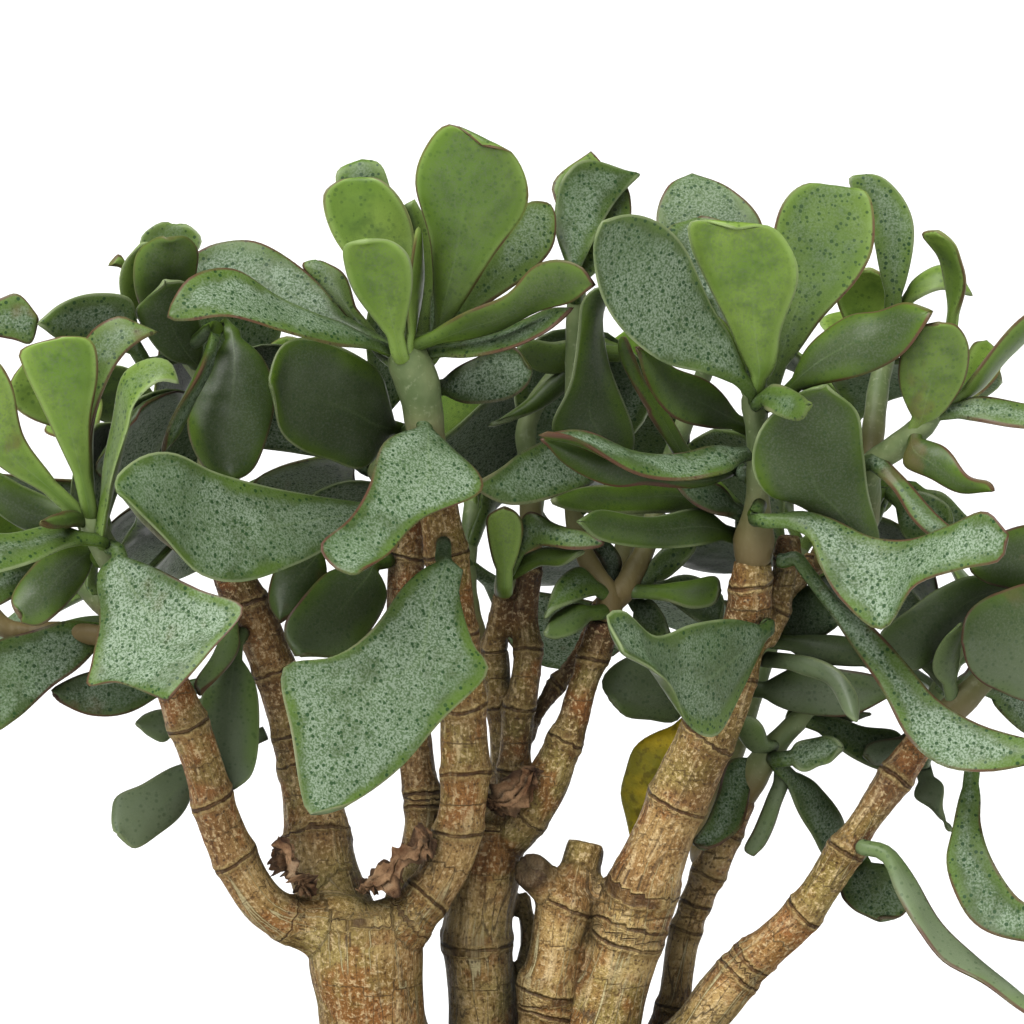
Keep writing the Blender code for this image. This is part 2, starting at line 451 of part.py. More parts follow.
    ("shoot_far_right", "under", 0.1, 4, -8, 0, (104, 88), (93, 89.8, 86, 87.3, 80, 83, 74, 78.4), (96,
     83.5, 88, 76.6, 83, 71.6, 77.5, 70.6), (73.6, 74)),
    ("shoot_far_right", "under", 0.2, -6, -12, 0, (115, 92), (106, 99.5, 98, 98.4, 93, 94), (106, 86.4,
     98, 87.3, 94, 88.7), (91.5, 91)),
    ("shoot_far_right", "under", 0.2, -12, -24, 0, (116, 76), (107, 87.5, 98, 86.3, 92, 82.5), (107,
     64.5, 97, 66.8, 92.2, 70.5), (89.8, 76.5)),
    ("shoot_far_right", "top", 0.3, 0, 6, 0, (95.5, 67), (100, 68.5, 106, 66), (97, 63, 103, 58), (108,
     60)),
    ("shoot_far_right", "under", 0.7, -8, -12, -2, (88, 66), (84.4, 70.5, 86.5, 77), (89.5, 72, 90.5,
     78), (90, 80.3)),
    ("shoot_far_right", "under", 0.5, 0, 4, 0, (88, 67), (82, 71, 80, 76), (86, 72, 85, 77), (81.5, 79)),
    ("leaf_25", "under", 0.1, -17, -34, 3, (70.3, 35.3), (75, 35.8, 79.3, 31, 85, 20.5, 93, 13.2, 102,
     6.5), (74.5, 32, 77, 26, 80.8, 19, 86, 12, 94, 7.8, 102, 2.5), (112, -2.5)),
    ("leaf_26", "top", 0.5, -2, -6, 0, (70, 32.5), (66.5, 29.5, 65.8, 25.6, 69, 22.2), (76, 31, 79.3, 25,
     78, 21.6), (73.5, 21)),
    ("leaf_27", "top", 0.3, -20, -34, 0, (92.3, 53), (89.6, 46, 88, 39, 86.8, 33, 88.2, 27, 92, 20.5, 98,
     17.2), (93.7, 46, 93.8, 40, 96, 33, 101, 25.5, 107, 21.5), (109, 15.5)),
    ("leaf_28", "under", 0.3, -2, -6, 0, (82.4, 50.5), (86.2, 48, 86.2, 42.6), (80.4, 45.6, 84, 43),
     (87.9, 38.4)),
    ("leaf_29", "under", 0.2, 10, 4, 0, (36, 71), (30, 74.5, 23, 73.4, 18.6, 69.5), (33.5, 61, 27.5,
     60.8, 22.6, 61.6), (19.5, 65)),
    ("leaf_30", "under", 0.2, 8, 0, 0, (48, 67), (58, 72, 66, 71, 73, 69.5), (54, 63, 62, 61.6, 69, 62),
     (76.5, 66)),
    ("leaf_31", "top", 0.3, 6, 0, 0, (54.5, 88), (60, 87.4, 64, 83.6), (53.2, 80, 54, 76, 59, 75.7),
     (65.4, 79.8)),
    ("leaf_32", "under", 0.1, 2, 0, 2, (52, 76.5), (60, 78.2, 68, 77.2), (60, 73, 68, 71.3), (75, 71.6)),
    ("shoot_left", "top", 0.6, -29, -46, 2, (-85.2, 100.5), (-88, 102.3, -92, 101.8), (-88, 99.6, -92,
     99), (-94.5, 100.3)),
    ("shoot_left", "under", 0.1, -16, -14, 0, (-84, 101), (-91, 104.4, -98, 107.6, -104, 111), (-90,
     98.8, -97, 98.4, -104, 103), (-107.5, 108)),
    ("shoot_left", "under", 0, -20, -26, 0, (-83, 95), (-91, 96, -97.2, 90, -100, 85), (-85.5, 88, -91,
     82, -95, 79.5), (-98.4, 81)),
    ("shoot_left", "top", 0.3, -12, -24, 0, (-88, 95), (-95, 93, -102, 92.4, -108, 90), (-95, 89, -101,
     84.6, -107, 82), (-110.5, 85)),
    ("shoot_far_left", "top", 0.1, -6, -20, 2, (-79, 80), (-88, 80.4, -96, 78.6, -103, 76.8, -108, 73),
     (-86, 71.6, -92, 67.4, -99, 61, -105, 58), (-110, 63)),
    ("shoot_far_left", "under", 0.2, 2, -6, 2, (-76, 81), (-86, 81.6, -94, 79.4), (-86, 77, -94, 76.4),
     (-101, 77.5)),
    ("leaf_37", "top", 0.3, 2, -4, 0, (-68, 67), (-76, 71.5, -85, 70.5, -91.4, 67.4), (-77, 62.2, -84,
     61.6, -90, 64), (-91.8, 66)),
    ("leaf_38", "under", 0.6, 10, 8, 0, (-65.5, 62), (-70, 63, -73.5, 62), (-69, 56.5, -72.5, 57.4),
     (-75.4, 60)),
    ("leaf_39", "under", 0.4, 6, -2, 0, (-62, 53), (-68, 51.4, -74, 48, -79.4, 45), (-65, 43, -71, 37.6,
     -76, 35), (-79, 38)),
    ("leaf_40", "under", 0.3, 0, -10, 0, (-55.5, 75), (-61.6, 67, -62.2, 59, -60, 50), (-51.2, 68, -50.6,
     57, -52, 49.6), (-55.6, 46.8)),
    ("leaf_41", "under", 0.5, 8, 6, 0, (-56.5, 82), (-60, 74, -63.6, 68), (-54.4, 76, -58.5, 69.4),
     (-62.4, 65.6)),
    ("shoot_right_crown", "top", 0.2, 2, -4, 0, (76, 106), (82, 106.6, 87.4, 103.8), (79, 97, 85.4, 98),
     (88.2, 100.3)),
    ("shoot_right_crown", "top", 0.5, 10, 12, 0, (80, 107), (86, 106.4, 90.6, 102), (84, 98.6, 90, 98.6),
     (92.6, 100)),
    ("dry_leaf_1", "top", 1, -9, -16, 2, (-39, 25.5), (-43, 25.5, -48, 28, -50.5, 31.5), (-38.5, 30, -40,
     35, -44, 37), (-49, 35.5)),
    ("dry_leaf_2", "top", 1, -14, -20, 2, (-30, 27), (-27, 32, -23, 37, -20.5, 39.8), (-24, 26, -20, 29,
     -17.5, 34), (-17.5, 38.5)),
    ("dry_leaf_3", "top", 1, -8, -9, 1, (-4, 43.5), (-5, 46, -4, 49, -1, 50), (0, 43, 3, 44.5, 4, 47),
     (3, 49.5)),
    ("yellow_leaf", "under", 1, 0, 2, 1, (35.5, 60.5), (29, 58.5, 24.5, 55.5, 22.6, 50.5, 21.6, 46, 22.6,
     41.5), (33, 54, 30, 49, 28.4, 43.5, 26.6, 39.6), (23.8, 36.8)),
]




# Woody stems: name and, from the root up, picture x and z, depth and radius. Heights below 0 lie in the soil.
WOOD = {
    "A": [(-6, -36, 0, 11), (-18, -18, -5, 11), (-27, -4, -9, 10.8), (-28.4, 6, -10, 10.9), (-29.4, 14,
        -10, 11.6), (-30, 22, -9, 10)],
    "A1": [(-31, 17, -10, 8), (-38, 19.6, -11, 6.8), (-44.5, 21, -13, 4.9), (-50, 24.6, -15, 4.6),
        (-54.8, 31.8, -17, 4.5), (-58.6, 41, -19, 4.4), (-62, 52, -21, 4.1), (-65.6, 61.6, -23, 3.9),
        (-68, 68, -24, 3.5), (-72, 78, -25, 2.9)],
    "A2": [(-33, 18, -3, 7.4), (-37.4, 30, 0, 7.2), (-39.4, 42, 3, 6.4), (-43.6, 57, 5, 4.2), (-46, 65,
        5, 4.1), (-48.4, 73, 5, 4.5), (-51.6, 81, 5, 4.7), (-55.4, 89, 5, 4.4), (-59.5, 99, 5, 3.6)],
    "A3": [(-26, 17, -11, 7.5), (-19.5, 22.6, -13, 5.3), (-14.6, 29, -14, 5), (-11, 38, -14, 4.9), (-9.6,
        48, -14, 4.7), (-9.4, 57, -14, 4.7), (-10, 70, -14, 4.5), (-11.6, 83, -14, 4.4), (-13.4, 96, -15,
        4.3), (-16, 111, -16.4, 3.8)],
    "A4": [(-22, 20, -4, 5), (-17.4, 40, 0, 3.8), (-19, 52, 3, 3.7), (-20.6, 66, 6, 3.7), (-21.3, 82, 8,
        3.8), (-21.2, 95, 10, 3.6), (-21, 103, 10, 3.3)],
    "B": [(-1, -36, 2, 9), (-4.6, -14, 2, 8), (-5.8, 0, 1, 7.2), (-6.6, 12, 0, 6.9), (-6.8, 17, 0, 7.2),
        (-6.4, 22, 0, 7), (-5.2, 32, 0, 7.4), (-3, 41, 0, 6)],
    "B1": [(-4, 38, 6, 3), (-2.6, 50, 8, 2), (-2.4, 60, 8, 2.4), (-3.4, 72, 8, 3), (-3.6, 76, 7, 2.4),
        (-1.8, 86, 3, 2.1)],
    "B2": [(-1, 38, 1, 4.6), (0.3, 50, 2, 3.3), (1.2, 62, 3, 3.2), (2.2, 66, 3, 2.8), (3.4, 74.5, 4,
        2.9), (2.6, 82, 5, 2.9), (3.4, 92, 6, 2.7)],
    "B3": [(-0.5, 38, -1, 5.4), (4.2, 44, -2, 4.6), (8, 50.5, -3, 4.3), (10.8, 57, -3, 3.6), (12.4, 61,
        -3, 3.1), (14, 67, -3, 3.1), (16, 73, -2, 3.3), (18.4, 80.5, -2, 3.2)],
    "B4": [(3, 57, 5, 1.8), (5, 62, 8, 1.7), (9, 68, 12, 1.7), (13.5, 74, 15, 1.7), (20, 88, 22, 1.8)],
    "C": [(2, -36, -6, 6), (4, -14, -8, 5.4), (6.4, 2, -8, 5.3), (6.6, 7, -8, 5.7), (8, 12, -8, 5.2),
        (9.6, 20, -8, 5.4), (11.6, 27, -8, 5.8)],
    "Cstub": [(11.6, 24, -6, 4.6), (13.6, 31, -5, 4.3), (14.8, 36.3, -4, 3.9)],
    "Cknob": [(8.6, 26, -8, 3.6), (5, 30, -10, 3.8), (3.2, 31.2, -12, 3.7)],
    "Cback": [(3, -36, 4, 3.2), (3, -10, 4, 2.8), (3, 10, 4, 2.2), (3.4, 18, 5, 2), (1.8, 26, 4, 2)],
    "D": [(5, -36, 0, 9), (12, -16, -3, 8.4), (18, 0, -6, 7.8), (21, 10, -7, 7.2), (24, 20, -8, 7.1),
        (25.2, 24, -8, 7.5), (26.2, 28, -9, 7.2), (28.8, 34, -9, 6.2), (33.4, 45, -10, 6.2), (38.6, 57,
        -12, 6), (43, 66, -13, 4.9), (46, 76, -13, 4.8), (47.6, 84, -14, 4.4), (48.2, 93, -15, 4.1)],
    "Dtwin": [(50, 76, -11, 3), (53, 84, -9, 3), (54.8, 92, -8, 2.7), (55.2, 97.5, -8, 2.5)],
    "Dback": [(46.5, 74, -8, 3), (52, 84, 4, 2.6), (61, 92.5, 8, 2.4)],
    "E": [(12, -36, 6, 6), (24, -16, 6, 5), (31.4, 0, 5, 3.9), (33.2, 10, 5, 3.2), (34.6, 18, 5, 3.4),
        (37.4, 26, 5, 3.2), (41, 34, 5, 3.4), (46, 45.5, 4.7, 3.1)],
    "F": [(18, -36, -2, 7), (30, -10, -4, 6), (37.6, 0.4, -6, 5), (42.4, 6.6, -7, 4.9), (47.6, 12.4, -8,
        4.6), (52, 16, -9, 4.2), (58, 22, -10, 3.9), (63, 28.8, -11, 3.6), (67.4, 35.6, -12, 3.7), (70.6,
        40.6, -12, 3.4), (75, 47, -12, 3.4), (79.8, 53.8, -11, 3.3), (83, 57.6, -9, 3.1)],
}


# Green stems of the leafy shoots: the wood each springs from, then its line.
SHOOTS = {
    "shoot_centre_left": ("A3",
        [(-16.9, 115.5, -16.9, 3.6), (-17.6, 121, -17.6, 3.7), (-18.6, 127, -18.4, 4.1),
         (-20.4, 132, -19.4, 4.2), (-22.4, 136, -20.5, 2.6)]),
    "shoot_centre_right": ("D",
        [(48.4, 97, -15.3, 3.9), (48.9, 101, -16.2, 3.1), (49.1, 104, -17, 2.4), (49.1, 110, -19, 2.1),
         (49, 118, -21, 2.1), (48.6, 124, -22, 2.6), (49, 128, -22, 2)]),
    "shoot_left_crown": ("A2",
        [(-60, 104, 5, 2.8), (-60.4, 116, 4, 2.5), (-61, 128, 2, 2.4), (-66, 136, 3, 2.3),
         (-70, 141, 5, 1.8)]),
    "shoot_left": ("A1",
        [(-75, 84, -26, 2.8), (-79, 91, -28, 2.6), (-83, 98, -30, 2.6), (-85, 104, -30, 1.9)]),
    "shoot_right_crown": ("Dback",
        [(66, 93.5, 0, 2.3), (69.5, 96.5, -9, 2.4), (71.2, 103, -15, 2.4), (71.6, 111, -20, 2.5),
         (77, 115.5, -24, 2.4), (82, 119.5, -26, 2.3), (84.6, 122.4, -26, 1.8)]),
    "shoot_far_right": ("F",
        [(86.4, 61.2, -7.6, 3), (91, 65.6, -6, 2.7), (94.5, 69, -5, 2.4), (98, 71, -6, 2.3),
         (104, 76, -8, 2.2), (110, 85, -6, 2.1), (114, 94, -4, 1.8)]),
    "shoot_far_left": ("A1",
        [(-78, 77.4, -14, 2), (-90, 78.4, -8, 2), (-102, 79.6, -7, 2), (-111, 94, -8, 2),
         (-115, 112, -9, 1.9), (-115, 132, -10, 1.7)]),
    "shoot_small_centre": ("B1",
        [(-1.4, 88.4, 1, 2), (-0.8, 92, -1, 1.6)]),
    "shoot_inner": ("B3",
        [(19.6, 84, -1, 2.7), (18.8, 87, 0, 2.2), (16, 91, 1.6, 2), (12.8, 99, 3, 1.9),
         (12.4, 110, 4, 1.8), (12.4, 126, 4, 1.8), (12.8, 142, 4, 1.9), (13, 150, 5, 1.6)]),
    "shoot_inner_top": ("B2",
        [(3.8, 98, 8, 2.3), (3.6, 110, 11, 2), (3, 120, 14, 2), (9, 130, 17, 1.7), (18, 136, 17, 1.5)]),
    "shoot_low_right": ("E",
        [(47.6, 48.6, 4.4, 3.1), (50.4, 53, 3.4, 2.8), (54, 57.4, 2, 2.2), (57.5, 61, 2, 2),
         (60, 63.4, 4, 1.6)]),
}

# Second stems that grow out of the shoots above.
FORKS = {
    "shoot_inner": [
        [(19.6, 84, -1, 2.4), (22.4, 87, 1, 2.4), (24, 90, 3, 2.3), (27, 96, 7, 2), (30, 108, 12, 1.9),
         (36, 124, 13, 1.8), (40, 134, 12, 1.6)]],
    "shoot_right_crown": [
        [(71.6, 109, -18, 2.2), (72.2, 118, -14, 2.2), (73.8, 130, -7, 2), (77, 141, 0, 1.7)],
        [(83, 120.5, -25, 1.7), (87, 130, -16, 1.5), (88.4, 138.4, -9, 1.4)]],
}

# Shoots on the far side, placed by choice: the wood, the stem's line, how many pairs of leaves, and a word
# that picks the way the pairs are turned.
FAR_SHOOTS = {
    "shoot_back_1": ("A4",
        [(-25, 108, 16, 2.2), (-29, 114, 26, 2), (-32, 120, 34, 1.7)], 3, "shoot_back_18"),
    "shoot_back_2": ("A2",
        [(-60, 92, 16, 2.2), (-72, 101, 30, 2), (-82, 114, 38, 1.7)], 3, "shoot_back_212"),
    "shoot_back_3": ("B2",
        [(2, 88, 20, 2.2), (4, 100, 36, 2), (6, 116, 46, 1.7)], 3, "shoot_back_310"),
    "shoot_back_4": ("Dback",
        [(64, 98, 18, 2.2), (66, 111, 32, 2), (68, 132, 42, 1.7)], 3, "shoot_back_45"),
    "shoot_back_5": ("B4",
        [(22, 94, 26, 2), (25, 102, 40, 1.9), (28, 116, 52, 1.7)], 3, "shoot_back_58"),
    "shoot_back_6": ("A4",
        [(-28, 76, 18, 2.2), (-47, 94, 38, 2), (-64, 116, 58, 1.7)], 3, "shoot_back_67"),
    "shoot_back_7": ("F",
        [(72, 42, 2, 2.3), (76, 48, 18, 2.2), (84, 64, 28, 2), (92, 80, 34, 1.7)], 3, "shoot_back_7"),
    "shoot_back_8": ("E",
        [(38, 36, 16, 2.2), (47, 62, 32, 2), (58, 96, 46, 1.7)], 3, "shoot_back_8"),
    "shoot_back_9": ("B1",
        [(-6, 74, 20, 2.2), (-9, 87, 38, 2), (-8, 104, 52, 1.7)], 3, "shoot_back_9"),
    "shoot_back_10": ("A2",
        [(-62, 80, 14, 2.2), (-78, 81, 22, 2), (-90, 92, 26, 1.7)], 3, "shoot_back_1014"),
}


def nearest_on(line, point):
    """The nearest point of a stem's line, how far along it that is, and the stem's radius there."""
    best = None
    for i, ((a, ra), (b, rb)) in enumerate(zip(line, line[1:])):
        t = max(0.0, min(1.0, (point - a).dot(b - a) / (b - a).length_squared))
        at = a.lerp(b, t)
        if best is None or (at - point).length < best[0]:
            best = ((at - point).length, at, ra + (rb - ra) * t, i + t)
    return best[1], best[2], best[3]


def stem_line(rows):
    """A stem's points and radii in space, from its row of picture places, depths and radii."""
    return [(seen(x, z, y), radius) for x, z, y, radius in rows]


def tree_of(solid):
    """A search tree of a solid's triangles."""
    return BVHTree.FromPolygons([tuple(p) for p in solid[0]], solid[1], all_triangles=True)


def box_of(points):
    """The lowest and the highest corner of some points."""
    return ([min(p[k] for p in points) for k in range(3)], [max(p[k] for p in points) for k in range(3)])


def apart(one, other):
    """Whether two boxes are clear of each other."""
    return any(one[0][k] > other[1][k] or other[0][k] > one[1][k] for k in range(3))


class Garden:
    """What has been placed so far, and the test that a new piece is clear of it."""

    def __init__(self):
        """Nothing is placed yet."""
        self.pieces = []

    def add(self, node, solid, outer=None):
        """Places a solid. outer is the part that mustn't cross leaves on its own shoot."""
        self.pieces.append((node, tree_of(solid), box_of(solid[0]), tree_of(outer) if outer else None))

    def hits(self, node, solid, outer=None):
        """How many triangle pairs cross a piece of another node, or the outer part of one on its own."""
        count, box, tree = 0, box_of(solid[0]), tree_of(solid)
        outer_tree = tree_of(outer) if outer else None
        for other, other_tree, other_box, other_outer in self.pieces:
            if apart(box, other_box):
                continue
            if other != node:
                count += len(tree.overlap(other_tree))
            elif outer_tree and other_outer:
                count += len(outer_tree.overlap(other_outer))
        return count


def outer_part(solid):
    """A leaf's solid without its first rings."""
    points, faces = solid
    first = MEETING_RINGS * 2 * (LEAF_STEPS + 1)
    return points, [f for f in faces if min(f) >= first]


class GrownLeaf(Leaf):
    """A leaf placed by rule, not read from the photo. It is swung by turning it about its base."""

    def __init__(self, shoot, youth, base, ahead, upper, length, width, number):
        """A leaf at base that grows along ahead, with its upper face towards upper."""
        super().__init__(shoot, "top", youth, 0, 0, 0, None, (), (), None, number)
        self.at, self.ahead = base, ahead.normalized()
        self.upper = (upper - self.ahead * upper.dot(self.ahead)).normalized()
        self.length, self.width = length, width
        self.turned = (0.0, 0.0)
        rng = random.Random(number * 7 + 1)
        self.bend = rng.uniform(-0.12, 0.22)
        self.twist = rng.uniform(-0.3, 0.3)

    def edge_curves(self, count):
        """The two edges as evenly spread points in space, from the base to the tip."""
        pitch, yaw = self.turned
        side = self.ahead.cross(self.upper)
        ahead = Quaternion(side, pitch) @ Quaternion(self.upper, yaw) @ self.ahead
        upper = Quaternion(side, pitch) @ self.upper
        side = ahead.cross(upper)
        curves = []
        for sign in (1, -1):
            points = [self.at]
            for u, share in ((0.3, 0.42), (0.55, 0.86), (0.75, 1.0), (0.92, 0.72)):
                rise = self.bend * self.length * (u - u * u * 1.7)
                across = Quaternion(ahead, self.twist * u) @ side
                points.append(self.at + ahead * self.length * u + upper * rise
                              + across * sign * self.width / 2 * share)
            points.append(self.at + ahead * self.length + upper * self.bend * self.length * -0.7)
            curves.append(curve_through(points, count))
        return curves


def swings(leaf):
    """The ways to move a leaf, from none at all to far. A leaf read from the photo only moves in depth."""
    if isinstance(leaf, GrownLeaf):
        for step in range(1, 9):
            for pitch, yaw in ((0, 1), (0, -1), (1, 0), (-1, 0), (1, 1), (-1, 1), (1, -1), (-1, -1)):
                yield pitch * step * 0.09, yaw * step * 0.09
        return
    for step in range(1, 15):
        for tip, base in ((1, 0), (-1, 0), (1, 0.35), (-1, -0.35), (1, 1), (-1, -1)):
            if abs(tip) * step * 2 < 29 and abs(base) * step * 2 < 12:
                yield tip * step * 2.0, base * step * 2.0


def cad_rows(leaf):
    """How many rows a leaf gets in the model: long ones more."""
    if isinstance(leaf, GrownLeaf):
        length = leaf.length * 0.8
    else:
        length = math.dist(leaf.base, leaf.tip)
    return 5 if length > 36 else 4 if length > 22 else 3


def settle(leaf, garden, roots):
    """Moves the leaf until it is clear of what is placed, then places it. Returns the crossings left."""
    plain = list(leaf.depths)
    best = None
    tries = [(0.0, 0.0)] + list(swings(leaf))
    for first, second in tries:
        if isinstance(leaf, GrownLeaf):
            leaf.turned = (first, second)
        else:
            leaf.depths = [plain[0] + second, plain[1] + first, plain[2]]
        leaf.root = roots(leaf)
        thick = leaf_solid(leaf, cad_rows(leaf), LEAF_STEPS, CLEARANCE)
        crossings = garden.hits(leaf.shoot, thick, outer_part(thick))
        if best is None or crossings < best[0]:
            best = (crossings, (first, second))
        if crossings == 0:
            break
    if isinstance(leaf, GrownLeaf):
        leaf.turned = best[1]
    else:
        leaf.depths = [plain[0] + best[1][1], plain[1] + best[1][0], plain[2]]
    leaf.root = roots(leaf)
    solid = leaf_solid(leaf, cad_rows(leaf), LEAF_STEPS)
    garden.add(leaf.shoot, solid, outer_part(solid))
    return best[0]


def stem_start(wood, source, point, radius, garden):
    """Where a shoot's stem leaves its wood, from its end or its side, just clear of the bark."""
    at, bark, share = nearest_on(wood[source], point)
    ahead = (point - at).normalized()
    at_end = share > len(wood[source]) - 1.02
    start = at + ahead * ((0 if at_end else bark) + STEM_GAP)
    while (point - start).length > 1.0:
        tube = tube_solid([start, point], [radius + CLEARANCE] * 2, STEM_SIDES)
        if not garden.hits("", tube):
            break
        start = start + ahead * 0.3
    return start


def plant():
    """All stems and leaves in place: wood lines, shoot lines by node, and leaves."""
    wood = {name: stem_line(rows) for name, rows in WOOD.items()}
    garden = Garden()
    for name, line in wood.items():
        garden.add("trunk", tube_solid([p for p, r in line], [r * RING_SWELL for p, r in line], 8))
    stems = {}
    far = {name: (source, rows) for name, (source, rows, pairs, kind) in FAR_SHOOTS.items()}
    for name, (source, rows) in list(SHOOTS.items()) + list(far.items()):
        line = stem_line(rows)
        start = stem_start(wood, source, line[0][0], line[0][1] * 0.95, garden)
        stems[name] = [[(start, line[0][1] * 0.95)] + line]
        for fork in FORKS.get(name, ()):
            stems[name].append(stem_line(fork))
    left = {}
    for name, lines in stems.items():
        for number, line in enumerate(lines):
            tube = tube_solid([p for p, r in line], [r + CLEARANCE for p, r in line], STEM_SIDES)
            if garden.hits(name, tube):
                left[(number, name)] = "stem"
            garden.add(name, tube_solid([p for p, r in line], [r for p, r in line], STEM_SIDES))

    def roots(leaf):
        """Where the leaf's stalk starts, on its shoot's stem or off the bark. A fallen leaf has none."""
        if leaf.shoot.startswith("dry"):
            return None
        base = leaf.at if isinstance(leaf, GrownLeaf) else seen(*leaf.base, leaf.depths[0])
        first, second = leaf.edge_curves(EDGE_STEPS)
        behind = base - ((first[1] + second[1]) / 2 - base).normalized() * PETIOLE * 1.5
        if leaf.shoot in stems:
            spots = [nearest_on(line, behind) for line in stems[leaf.shoot]]
            return min(spots, key=lambda spot: (spot[0] - behind).length)[0]
        spots = [nearest_on(line, behind) for line in wood.values()]
        at, radius = min(spots, key=lambda spot: (spot[0] - behind).length - spot[1])[:2]
        return at + (base - at).normalized() * (radius * RING_SWELL + ROOT_GAP)

    leaves = []
    for number, row in enumerate(SEEN):
        leaves.append(Leaf(*row, number))
    for name, (source, rows, pairs, kind) in FAR_SHOOTS.items():
        leaves += shoot_leaves(name, stems[name][0], pairs, kind, len(leaves))
    kept = []
    for leaf in leaves:
        crossings = settle(leaf, garden, roots)
        if crossings and isinstance(leaf, GrownLeaf):
            garden.pieces.pop()
            continue
        kept.append(leaf)
        if crossings:
            left[(leaf.number, leaf.shoot)] = crossings
    return wood, stems, kept, left


def shoot_leaves(name, line, pairs, kind, number):
    """Leaves in crossed pairs up a stem, larger below, as the plant grows them."""
    rng = random.Random(kind)
    out = []
    points = [place for place, _ in line]
    ahead = (points[-1] - points[-2]).normalized()
    across = ahead.cross(Vector((rng.uniform(-1, 1), rng.uniform(-1, 1), 0.3))).normalized()
    for pair in range(pairs):
        at = points[-1] - ahead * (pair * PAIR_STEP + 0.5)
        across = Quaternion(ahead, math.radians(90 + rng.uniform(-12, 12))) @ across
        open_by = math.radians(PAIR_ANGLES[pair] + rng.uniform(-8, 8))
        for sign in (1, -1):
            lean = (ahead * math.cos(open_by) + across * sign * math.sin(open_by)).normalized()
            length = PAIR_LENGTHS[pair] * rng.uniform(0.9, 1.12)
            width = length * rng.uniform(0.56, 0.7)
            out.append(GrownLeaf(name, PAIR_YOUTH[pair], at + lean * 2.2, lean, ahead, length, width,
                                 number + len(out)))
    return out


def material(name, colour, rough):
    """A plain material."""
    made = bpy.data.materials.new(name)
    made.use_nodes = True
    shader = made.node_tree.nodes["Principled BSDF"]
    shader.inputs["Base Color"].default_value = (*colour, 1)
    shader.inputs["Roughness"].default_value = rough
    made.diffuse_color = (*colour, 1)
    return made


def thing(name, solid, look):
    """A mesh object made from points in the photo's frame, moved to stand about the origin."""
    mesh = bpy.data.meshes.new(name)
    shift = Vector((CENTRE_X, CENTRE_Y, 0))
    mesh.from_pydata([tuple((p - shift) * MM) for p in solid[0]], [], solid[1])
    mesh.materials.append(look)
    mesh.shade_smooth()
    made = bpy.data.objects.new(name, mesh)
    bpy.context.scene.collection.objects.link(made)
    return made


def combine(target, others, operation):
    """One Boolean of the target with all the others, which are then removed. The exact solver comes first."""
    group = bpy.data.collections.new("group")
    bpy.context.scene.collection.children.link(group)
    for other in others:
        group.objects.link(other)
        bpy.context.scene.collection.objects.unlink(other)
    boolean = target.modifiers.new("boolean", "BOOLEAN")
    boolean.operation = operation
    boolean.operand_type = "COLLECTION"
    boolean.collection = group
    for solver, flatness in (("EXACT", FLAT), ("EXACT", 0.0), ("MANIFOLD", FLAT), ("MANIFOLD", 0.0)):
        boolean.solver = solver
        bpy.context.view_layer.update()
        graph = bpy.context.evaluated_depsgraph_get()
        mesh = bpy.data.meshes.new_from_object(target.evaluated_get(graph))
        if only_body(mesh, flatness):
            break
    target.modifiers.clear()
    target.data = mesh
    for other in others:
        bpy.data.objects.remove(other)
    bpy.data.collections.remove(group)


def only_body(mesh, flatness):
    """Fills sealed hollows and drops loose scraps. True if what is left is one closed shell."""
    work = bmesh.new()
    work.from_mesh(mesh)
    bmesh.ops.remove_doubles(work, verts=work.verts, dist=1e-6)
    bmesh.ops.dissolve_limit(work, angle_limit=flatness, verts=work.verts, edges=work.edges)
    bmesh.ops.triangulate(work, faces=work.faces)
    left, shells = set(work.faces), 0
    while left:
        shell, edge = [], [left.pop()]
        while edge:
            face = edge.pop()
            shell.append(face)
            for side in face.edges:
                for other in side.link_faces:
                    if other in left:
                        left.remove(other)
                        edge.append(other)
        volume = sum(f.verts[0].co.dot(f.verts[1].co.cross(f.verts[2].co)) for f in shell) / 6
        shells += volume >= SCRAP * MM ** 3
        if volume < SCRAP * MM ** 3:
            bmesh.ops.delete(work, geom=shell, context="FACES")
    loose = [v for v in work.verts if not v.link_faces]
    bmesh.ops.delete(work, geom=loose, context="VERTS")
    closed = all(len(edge.link_faces) == 2 for edge in work.edges)
    work.to_mesh(mesh)
    work.free()
    return closed and shells == 1


def oval(length, width, z, count=POT_POINTS, corner=POT_CORNER):
    """A ring of points on a rounded oval about the pot's middle."""
    ring = []
    for k in range(count):
        turn = 2 * math.pi * k / count
        c, s = math.cos(turn), math.sin(turn)
        reach = (abs(c) ** corner + abs(s) ** corner) ** (-1 / corner)
        ring.append(Vector((CENTRE_X + length / 2 * reach * c, CENTRE_Y + width / 2 * reach * s, z)))
    return ring


def lathe(rings):
    """Rings joined one after the other and closed with a fan at each end."""
    points, faces, count = [], [], len(rings[0])
    for ring in rings:
        points += ring
    for i in range(len(rings) - 1):
        for k in range(count):
            a, b = i * count + k, i * count + (k + 1) % count
            faces += [(a, b, b + count), (a, b + count, a + count)]
    first, last = len(points), len(points) + 1
    points += [sum(rings[0], Vector()) / count, sum(rings[-1], Vector()) / count]
    top = (len(rings) - 1) * count
    for k in range(count):
        faces.append((first, (k + 1) % count, k))
        faces.append((last, top + k, top + (k + 1) % count))
    return points, faces


def block(middle, size):
    """A box given by its middle and its size."""
    x, y, z = (s / 2 for s in size)
    points = [middle + Vector((i * x, j * y, k * z)) for i in (-1, 1) for j in (-1, 1) for k in (-1, 1)]
    faces = [(0, 1, 3, 2), (4, 6, 7, 5), (0, 4, 5, 1), (2, 3, 7, 6), (0, 2, 6, 4), (1, 5, 7, 3)]
    return points, faces


def rod(x, y, z, top, radius, sides):
    """An upright rod from z to top."""
    return tube_solid([Vector((x, y, z)), Vector((x, y, top))], [radius, radius], sides)


